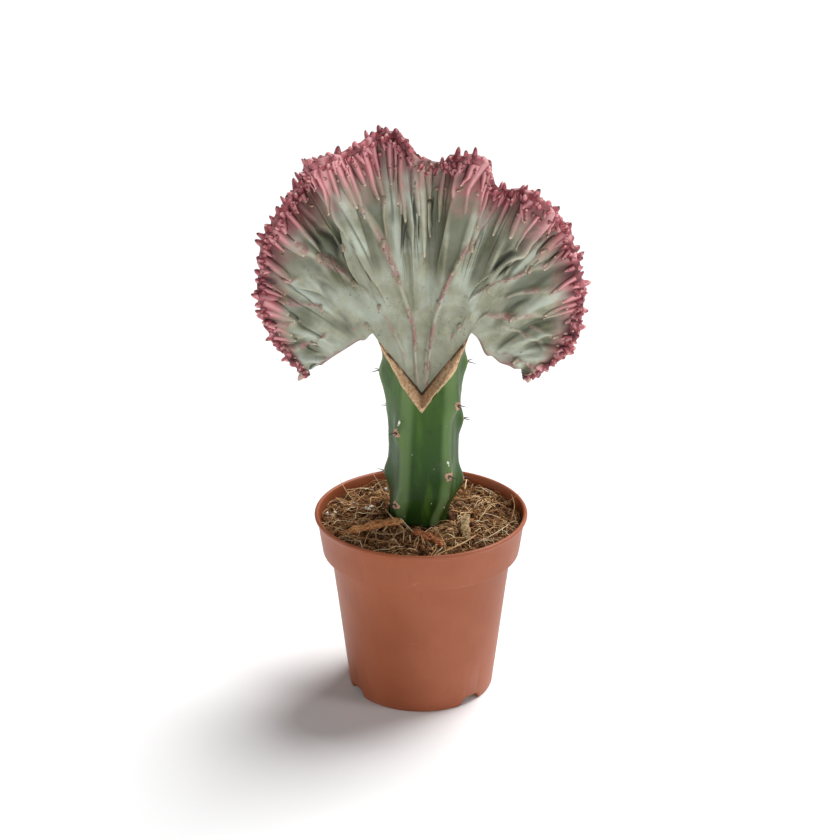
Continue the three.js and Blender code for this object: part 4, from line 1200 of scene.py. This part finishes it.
def flaps(s, v, side=1):
    """The overlapping folds: a step at each fold's edge that dies away on both sides. Returns how far they
    push the crest forward, how far a fold's rim leans along the crest, how deep a point lies in the shade
    under a fold, and how near it is to a rim. At the back a fold is a gentle slope without a rim."""
    forward, lean, shade, rim = (0 * s * v for _ in range(4))
    slack = 0 if side >= 0 else 1 - smoothstep(v, 0.85, 1)
    for line, high_by, low_by, wide, overhang, high in FLAPS:
        across = beside(line, s, v) * high
        present = stretch(line, v, 0.1, 0.1, 0, 0.1)
        over = smoothstep(across, -0.6 + 2.1 * slack, 0.3 + 8.7 * slack)
        above, below = np.maximum(across, 0), np.minimum(across, 0)
        step = mix(-low_by * np.exp(below / (0.7 * wide)), high_by * np.exp(-above / wide), over)
        forward = forward + present * step
        lean = lean - high * present * overhang * over * np.exp(-above / 3) * (1 - slack)
        shade = np.maximum(shade, present * np.exp(below / 2.5) * (1 - over) * low_by / 4)
        rim = np.maximum(rim, present * bell((across - 0.8) / 0.7))
    return forward, lean, np.minimum(shade, 1), rim


def crest_sheet(s, v):
    """The crest's sheet before its overlapping folds: s runs along the growing edge and v from the graft to
    it. Each growth line is a parabola from its root over a shoulder to the edge, and the folds deepen as a
    power of v."""
    s, v = np.broadcast_arrays(s, v)
    share = 2 * s - 1
    bend = spline([(x, 0, z) for x, z in SHOULDER], np.abs(share))
    bend = bend * vectors(np.where(share < 0, -1.0, 1.0), 0, 1)
    even = sum(edge_at(s + k * EVEN_SPAN) for k in (-1, -0.5, 0, 0.5, 1)) / 5
    w = v[..., None]
    edge = mix(even, edge_at(s), w**SWAY_POWER)
    middle = crest_root(share) * (1 - w) ** 2 + bend * 2 * w * (1 - w) + edge * w * w
    middle[..., 1] = edge[..., 1] * v**FOLD_POWER
    return middle


def crest_middle(s, v, side=1):
    """The middle of the crest's thickness, with its overlapping folds."""
    forward, lean, _, _ = flaps(s, v, side)
    right, left = np.minimum(s + LEAN_SPAN, 1), np.maximum(s - LEAN_SPAN, 0)
    along = unit(crest_sheet(right, v) - crest_sheet(left, v))
    middle = crest_sheet(s, v) + lean[..., None] * along
    middle[..., 1] -= forward
    return middle


def crest_ways(s, v, side=1):
    """The directions in which the crest's front face looks and its edge grows."""
    right, left = np.minimum(s + FACE_SPAN, 1), np.maximum(s - FACE_SPAN, 0)
    along = crest_middle(right, v, side) - crest_middle(left, v, side)
    out = unit(crest_middle(s, v + 0.01, side) - crest_middle(s, np.maximum(v - 0.01, 0), side))
    front = unit(np.cross(along, out))
    upright = (1 - smoothstep(v, UPRIGHT_TO, 1))[..., None]
    return unit(mix(front, np.array([0, -1.0, 0]), upright)), out


def crest_half(s, v):
    """Half the crest's thickness."""
    lobe = smoothstep(np.abs(2 * s - 1), NECK_SHARE - 0.05, NECK_SHARE + 0.2)
    half = mix(EDGE_HALF, mix(ROOT_HALF, LOBE_HALF, lobe), (1 - v) ** THINNING)
    underside = np.sqrt(np.clip(1 - (1 - np.clip(v / 0.05, 0, 1)) ** 2, 0, 1))
    return half * mix(1, mix(0.15, 1, underside), lobe)


def pleats(side):
    """The fine pleats of a face's edge, one a row: where it starts from graft to edge, its share along the
    edge there and at the edge, its height, its half width and how mauve it is. In the pinch and beside the
    keels of the front they start only just below the edge."""
    k = np.arange(FLUTES)
    draw = lambda n: hashed(k, n, side + 2)
    share = (k + 0.5 + 0.7 * (draw(1) - 0.5)) / FLUTES
    pinched = (side > 0) & (np.abs(share - PINCH[0]) < 1.4 * PINCH[1])
    marked = np.array([line[-1][1] for line, _, _ in KEELS])
    doubled = (side > 0) & (np.abs(share[:, None] - marked).min(axis=1) < KEEL_BERTH)
    starts = np.where(pinched | doubled, 0.96, 0.95 - 0.27 * draw(2) ** 2.2)
    return np.stack([starts, share + 0.012 * (draw(3) - 0.5), share,
                     mix(0.7, 1.6, draw(4)), mix(1.1, 2.4, draw(5) ** 1.3), 0.2 * draw(6)], axis=1)


def ridge_relief(side, s, v):
    """Height of the ridges over a face and how mauve they are. A ridge is a wedge: at its lower end, where
    it stands highest, it is narrow, and it broadens on its slightly wandering way up to the edge."""
    height, mauve = 0 * s * v, 0 * s * v
    lines = list(RIDGES) if side > 0 else [
        (((starts, ends + 0.01), (0.6, ends - 0.008), (1.0, ends)), tall, RIB_WIDTH * 0.8, 0.8)
        for ends, starts, tall in RIBS]
    lines += [(((starts, low), (1.0, high)), 0.5 * tall, 1.2 * wide, tint)
              for starts, low, high, tall, wide, tint in pleats(side)]
    for k, (line, tall, wide, tint) in enumerate(lines):
        first = line[0][0]
        grown = np.clip((v - first) / (1 - first), 0, 1)
        path = vectors(v * 60, k * 7.0, 0.0)
        wander = 0.5 * noise(path, 9, 3) * smoothstep(grown, 0, 0.1)
        across = (beside(line, s, v) + wander) / (wide * mix(0.7, 1.5, grown**0.8))
        present = stretch(line, v, 0.02, 0.008, 0, 0.07)
        swell = 1 + 0.4 * np.exp(-np.abs(v - first) / 0.05) + 0.3 * noise(path, 4, 5)
        height = np.maximum(height, tall * swell * bell(across) * present)
        soft = stretch(line, v, 0.05, 0.02, 0, 0.1)
        mauve = np.maximum(mauve, tint * bell(across / 1.05) * soft * (0.75 + 0.8 * noise(path, 3.5, 7)))
    return height, mauve


def creases(s, v):
    """How deep the sharp creases cut into the front, and how near a point is to the middle of one."""
    depth, near = 0 * s * v, 0 * s * v
    for line, deep, wide in CREASES:
        here = stretch(line, v, 0.03, 0.02, 0.02, 0.03) * bell(beside(line, s, v) / wide)
        depth, near = np.maximum(depth, deep * here), np.maximum(near, here)
    return depth, near


def crest_face(side, s, v):
    """One face of the crest, with its relief: ridges, the furrows between them near the edge, broad dents,
    sharp creases where a drawn-out noise crosses zero, and fine wrinkles. Returns the points and the values
    that colour them, among them painted shade in the dents, pockets, creases and furrows and painted
    highlight on the raised parts, the ridge tops and the folds' rims."""
    front, _ = crest_ways(s, v, side)
    middle = crest_middle(s, v, side)
    height, mauve = ridge_relief(side, s, v)
    near_edge = smoothstep(v, 0.72, 1.0)
    far = np.abs(2 * s - 1)
    lobe = smoothstep(far, NECK_SHARE + 0.02, NECK_SHARE + 0.1)
    drawn_out = vectors(s * EDGE_LENGTH * 0.8, v * 13, 0 * s)
    streaks = 1.7 * noise(drawn_out, 9, 96 + side) + 1.1 * noise(drawn_out, 4.2, 98 + side)
    dents = 0.5 * noise(middle, 16, 90 + side) + 0.3 * noise(middle, 6, 92 + side) \
        + streaks * smoothstep(v, mix(0.3, 0.03, lobe), mix(0.8, 0.3, lobe))
    wrinkles = 0.16 * noise(middle * (1, 1, 0.6), 2.4, 94 + side)
    if side > 0:
        cut, near_cut = creases(s, v)
        _, _, shade, lip = flaps(s, v)
    else:
        shade, lip, cut, near_cut = (0 * height for _ in range(4))
    sharp = (1 - smoothstep(np.abs(noise(drawn_out, 6, 100 + side)), 0, 0.15)) \
        * smoothstep(noise(drawn_out, 15, 102 + side), -0.2, 0.25) \
        * smoothstep(v, mix(0.42, 0.32, lobe), mix(0.7, 0.5, lobe)) * (1 - 0.6 * near_edge)
    cut, near_cut = np.maximum(cut, 1.1 * sharp), np.maximum(near_cut, 0.6 * sharp)
    rough = (dents * (1 - 0.6 * near_edge) + wrinkles) * smoothstep(v, 0.02, 0.25)
    relief = height - cut - 1.1 * near_edge + rough
    thick = np.maximum(crest_half(s, v) + relief * smoothstep(v, 0.0, 0.1), 0.3)
    points = middle + side * thick[..., None] * front
    pinch = PINCH[2] * bell((s - PINCH[0]) / PINCH[1]) * (side > 0)
    rim_width = 0.07 + 0.4 * smoothstep(far, 0.8, 1)
    return points, {
        # ridge and dent also set painted highlight and painted shade, shade sets the painted shade of
        # pockets and creases, lip a painted highlight on the folds' rims, and the furrows' value painted
        # shade between the ridges near the edge.
        "edge": v - pinch, "mauve": mauve, "ridge": np.clip(height / 1.6, 0, 1),
        "shade": np.maximum(shade, near_cut), "lip": lip, "dent": dents, "tip": 0 * height,
        "furrow": near_edge * (1 - 0.7 * np.clip(height / 0.8, 0, 1)) * mix(0.85, 1.3, lobe),
        "rim": lobe * (1 - smoothstep(v, 0.01, rim_width))}


def crest(skin):
    """The ruffled fan: both faces with a rounded edge between them, closed along the graft and the tips."""
    columns, rows = 800, 56
    s = np.linspace(0, 1, columns)[None]
    v = np.interp(np.linspace(0, 1, rows), (0, 0.25, 1), (0, 0.42, 1))[:, None]
    v[:4, 0] = (0, 0.008, 0.025, 0.05)
    front, values = crest_face(1, s, v)
    back, back_values = crest_face(-1, s, v)
    _, out = crest_ways(s, np.ones((1, 1)))
    cap = [mix(front[-1:], back[-1:], t) + np.sin(np.pi * t) * 1.2 * out for t in (0.15, 0.38, 0.62, 0.85)]
    loop = np.concatenate([front, *cap, back[::-1]])
    merged = {key: np.concatenate([values[key], *[values[key][-1:]] * len(cap), back_values[key][::-1]])
              for key in values}
    row = np.arange(len(loop)) * columns
    faces = [grid_faces(len(loop), columns, wrap_rows=True), row[None], (row[::-1] + columns - 1)[None]]
    made = whole("crest_fan", skin, "crest_skin", loop, faces, **merged)
    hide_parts("crest")


def keels(skin):
    """The sharp crests of the pleats. Each is a keel with rounded flanks: its section is carried along its
    line on the face, stands highest at the lower end, where it juts out as a beak, and sinks and widens
    towards the growing edge."""
    shape = Shape()
    across = np.array((-1, -0.62, -0.3, 0, 0.3, 0.62, 1, 0))
    rise = np.array((0, 0.4, 0.85, 1, 0.85, 0.4, 0, -0.25))
    t = np.linspace(0, 1, 18) ** 1.3
    for side in (1, -1):
        rows = [(((starts, low), (1.0, high)), tall, wide)
                for starts, low, high, tall, wide, _ in pleats(side)]
        rows += KEELS if side > 0 else ()
        v = np.array([mix(line[0][0], min(line[-1][0], KEEL_END), t) for line, _, _ in rows])
        s = np.array([np.interp(places, *zip(*line)) for places, (line, _, _) in zip(v, rows)])
        tall, wide = (np.array([row[k] for row in rows])[:, None] for k in (1, 2))
        s = s + 0.5 * noise(vectors(60 * v, 100 * s, 0), 7, side + 60) * (1 - t) / EDGE_LENGTH
        front, out = crest_ways(s, v, side)
        along = unit(np.cross(front, out))
        face, values = crest_face(side, s, v)
        beak = (1 - np.clip(t / 0.12, 0, 1)) ** 1.5
        high = tall * np.interp(t, (0, 0.2, 0.6, 1), (0.95, 0.85, 0.62, 0.35))
        half = wide * np.interp(t, (0, 0.1, 0.4, 1), (0.4, 0.75, 1.3, 1.75)) * (1 - 0.85 * beak)
        y = mix(high[..., None] * rise - 0.2, 1.1 * tall[..., None], beak[:, None])
        points = face[:, :, None] + (half[..., None] * across)[..., None] * along[:, :, None] \
            + side * y[..., None] * front[:, :, None]
        faces = tube_faces(len(rows), len(t), len(across))
        crown = np.clip(rise, 0, 1)
        # The crowns carry painted highlight through ridge and dent, and the flanks near the edge carry
        # painted shade through the furrows' value.
        shape.add(points, faces if side > 0 else flipped(faces), mauve=0, ridge=0.85 * crown, shade=0,
                  lip=0, dent=0.3 * crown, edge=values["edge"][..., None] + 0.04 * crown,
                  furrow=smoothstep(v, 0.72, 1)[..., None] * (1 - crown), rim=0,
                  tip=(1 - smoothstep(t, 0.01, 0.1))[:, None])
    shape.piece("crest_pleats", skin, "crest_skin")


def fingers(shape, side, s, v, way, length, radius, seed, rose):
    """Fleshy fingers that grow from the crest: each tapers along a slightly hooked line from inside the
    face or the edge to a horny tip."""
    n = np.arange(len(s))
    front, out = crest_ways(s, v, side)
    base = crest_face(side, s, v)[0] if side else crest_middle(s, v)
    along = unit(np.cross(front, out))
    way = unit(way[0] * out + way[1] * front + (0.8 * (hashed(n, 3, seed) - 0.5))[:, None] * along)
    t = np.linspace(0, 1, 9)[None]
    hook = (1.6 * (hashed(n, 7, seed) - 0.4))[:, None] * t**2
    centres = base[:, None] + way[:, None] * (length[:, None] * (1.3 * t - 0.3))[..., None] \
        + along[:, None] * hook[..., None]
    girth = np.interp(t, (0, 0.25, 0.5, 0.78, 0.86, 0.95, 1), (1.35, 1.05, 0.84, 0.64, 0.5, 0.32, 0.06))
    points, faces = tubes(centres, radius[:, None] * girth, 7)
    shape.add(points, faces, along=t[..., None], age=hashed(n, 8, seed)[:, None, None],
              rose=np.broadcast_to(rose, n.shape)[:, None, None])


# The rows of teeth: face (0 is the edge itself), how many, place from graft to edge and how far it spreads
# down, likelihood, lengths, radii, and how far they point outward and sideways.
TOOTH_ROWS = (
    (0, 120, 1.0, 0.0, 0.95, (2.0, 5.4), (1.2, 2.0), 1.5, 0.9),
    (0, 120, 1.0, 0.0, 0.6, (1.4, 3.4), (0.8, 1.3), 1.0, 1.6),
    (1, 130, 0.99, 0.02, 0.85, (1.8, 3.8), (0.9, 1.5), 1.0, 1.0),
    (-1, 130, 0.99, 0.02, 0.85, (1.8, 3.8), (0.9, 1.5), 1.0, 1.0),
    (1, 150, 0.965, 0.03, 0.62, (1.4, 3.2), (0.7, 1.2), 0.6, 1.0),
    (-1, 150, 0.965, 0.03, 0.5, (1.4, 3.0), (0.7, 1.2), 0.6, 1.0),
    (1, 130, 0.93, 0.04, 0.22, (1.2, 2.4), (0.5, 0.9), -0.4, 0.9),
    (-1, 130, 0.93, 0.04, 0.22, (1.2, 2.4), (0.5, 0.9), -0.4, 0.9),
)


def teeth(skin):
    """The crest's growing edge: rows of fingers on the edge itself and on both faces just below it."""
    shape = Shape()
    for r, (side, count, place, spread, likely, lengths, radii, outward, sideways) in enumerate(TOOTH_ROWS):
        n = np.arange(count)
        n = n[hashed(n, 1, r) < likely]
        s = np.clip((n + 0.5 + 0.9 * (hashed(n, 2, r) - 0.5)) / count, 0.002, 0.998)
        v = place - spread * hashed(n, 9, r)
        lean = sideways * (side if side else 2 * hashed(n, 4, r) - 1)
        lean = np.broadcast_to(lean, n.shape)[:, None]
        fingers(shape, side, s, v, (outward, lean), mix(lengths[0], lengths[1], hashed(n, 5, r) ** 1.6),
                mix(radii[0], radii[1], hashed(n, 6, r)), r, smoothstep(v, 0.85, 0.97))
    # One stout finger closes each of the crest's two tips.
    fingers(shape, 0, np.array((0.004, 0.996)), np.full(2, 0.97), (1.0, 0.0), np.array((5.0, 4.0)),
            np.full(2, 2.0), 40, np.full(2, 0.3))
    shape.piece("crest_teeth", skin, "crest_skin")


def knobs(skin):
    """Horned knobs at the lower ends of ridges and along them: short fingers that look forward and down."""
    shape = Shape()
    v, s, size = np.array(KNOBS).T
    fingers(shape, 1, s, v, (-0.9, 0.9), 3.0 * size, 0.95 * size, 20, smoothstep(v, 0.78, 0.95))
    for k, (ends, starts, _) in enumerate(RIBS):
        v = np.arange(starts + 0.1, 0.84, 0.1)
        draw = lambda n: hashed(np.arange(len(v)), n, 30 + k)
        v = v + 0.08 * (draw(11) - 0.5)
        s = ends + 0.012 * (0.8 - v) + 0.003 * (draw(12) - 0.5)
        kept = draw(13) < 0.75
        fingers(shape, -1, s[kept], v[kept], (-0.3, -1.0), mix(1.3, 2.8, draw(14))[kept],
                mix(0.6, 1.15, draw(15))[kept], 30 + k, smoothstep(v[kept], 0.74, 0.95))
    shape.piece("crest_knobs", skin, "crest_skin")


# ---------- floor and light ----------

def floor():
    """A plain pale floor."""
    mesh = bpy.data.meshes.new("floor")
    far = FLOOR_FAR
    mesh.from_pydata([(-far, -far, 0), (far, -far, 0), (far, far, 0), (-far, far, 0)], [], [(0, 1, 2, 3)])
    mesh.materials.append(Finish("floor").surface((0.9, 0.9, 0.9), 0.8, specular_ior_level=0.1))
    made = placed("floor", mesh)


def lamp(name, kind, power, way):
    """A light that shines along a direction."""
    data = bpy.data.lights.new(name, kind)
    data.energy = power
    made = placed(name, data)
    made.rotation_euler = Vector(way).to_track_quat("-Z", "Y").to_euler()
    return made


def softbox(name, at, size, power):
    """A square soft light at a place, in metres, that looks at the plant."""
    made = lamp(name, "AREA", power, Vector((0, 0, 0.15)) - Vector(at))
    made.location = at
    made.data.shape = "RECTANGLE"
    made.data.size, made.data.size_y = size


def light():
    """A dim surround, a broad key high on the right and behind, a narrow panel at the left, a larger one at
    the right, and a wide fill in front."""
    world = bpy.data.worlds.new("studio")
    world.use_nodes = True
    surround = world.node_tree.nodes["Background"]
    surround.inputs[0].default_value = (1, 1, 1, 1)
    surround.inputs[1].default_value = 0.09
    bpy.context.scene.world = world
    key = lamp("key", "SUN", 4.3, (-0.44, -0.4, -0.88))
    key.data.angle = math.radians(40)
    softbox("left_panel", (-0.95, 0.05, 0.19), (0.12, 0.34), 2.2)
    softbox("right_panel", (0.93, -0.42, 0.52), (0.3, 0.8), 2.9)
    softbox("front_fill", (0.14, -1.56, 0.34), (0.9, 0.5), 6.9)
    bpy.context.scene.view_settings.view_transform = "Standard"


camera()
pot()
soil()
coir()
crumbs()
perlite()
straws()
husks()
stem()
cushions()
sap()
callus()
crest_finish = crest_skin()
crest(crest_finish)
keels(crest_finish)
horny_finish = tooth_skin()
teeth(horny_finish)
knobs(horny_finish)
floor()
light()
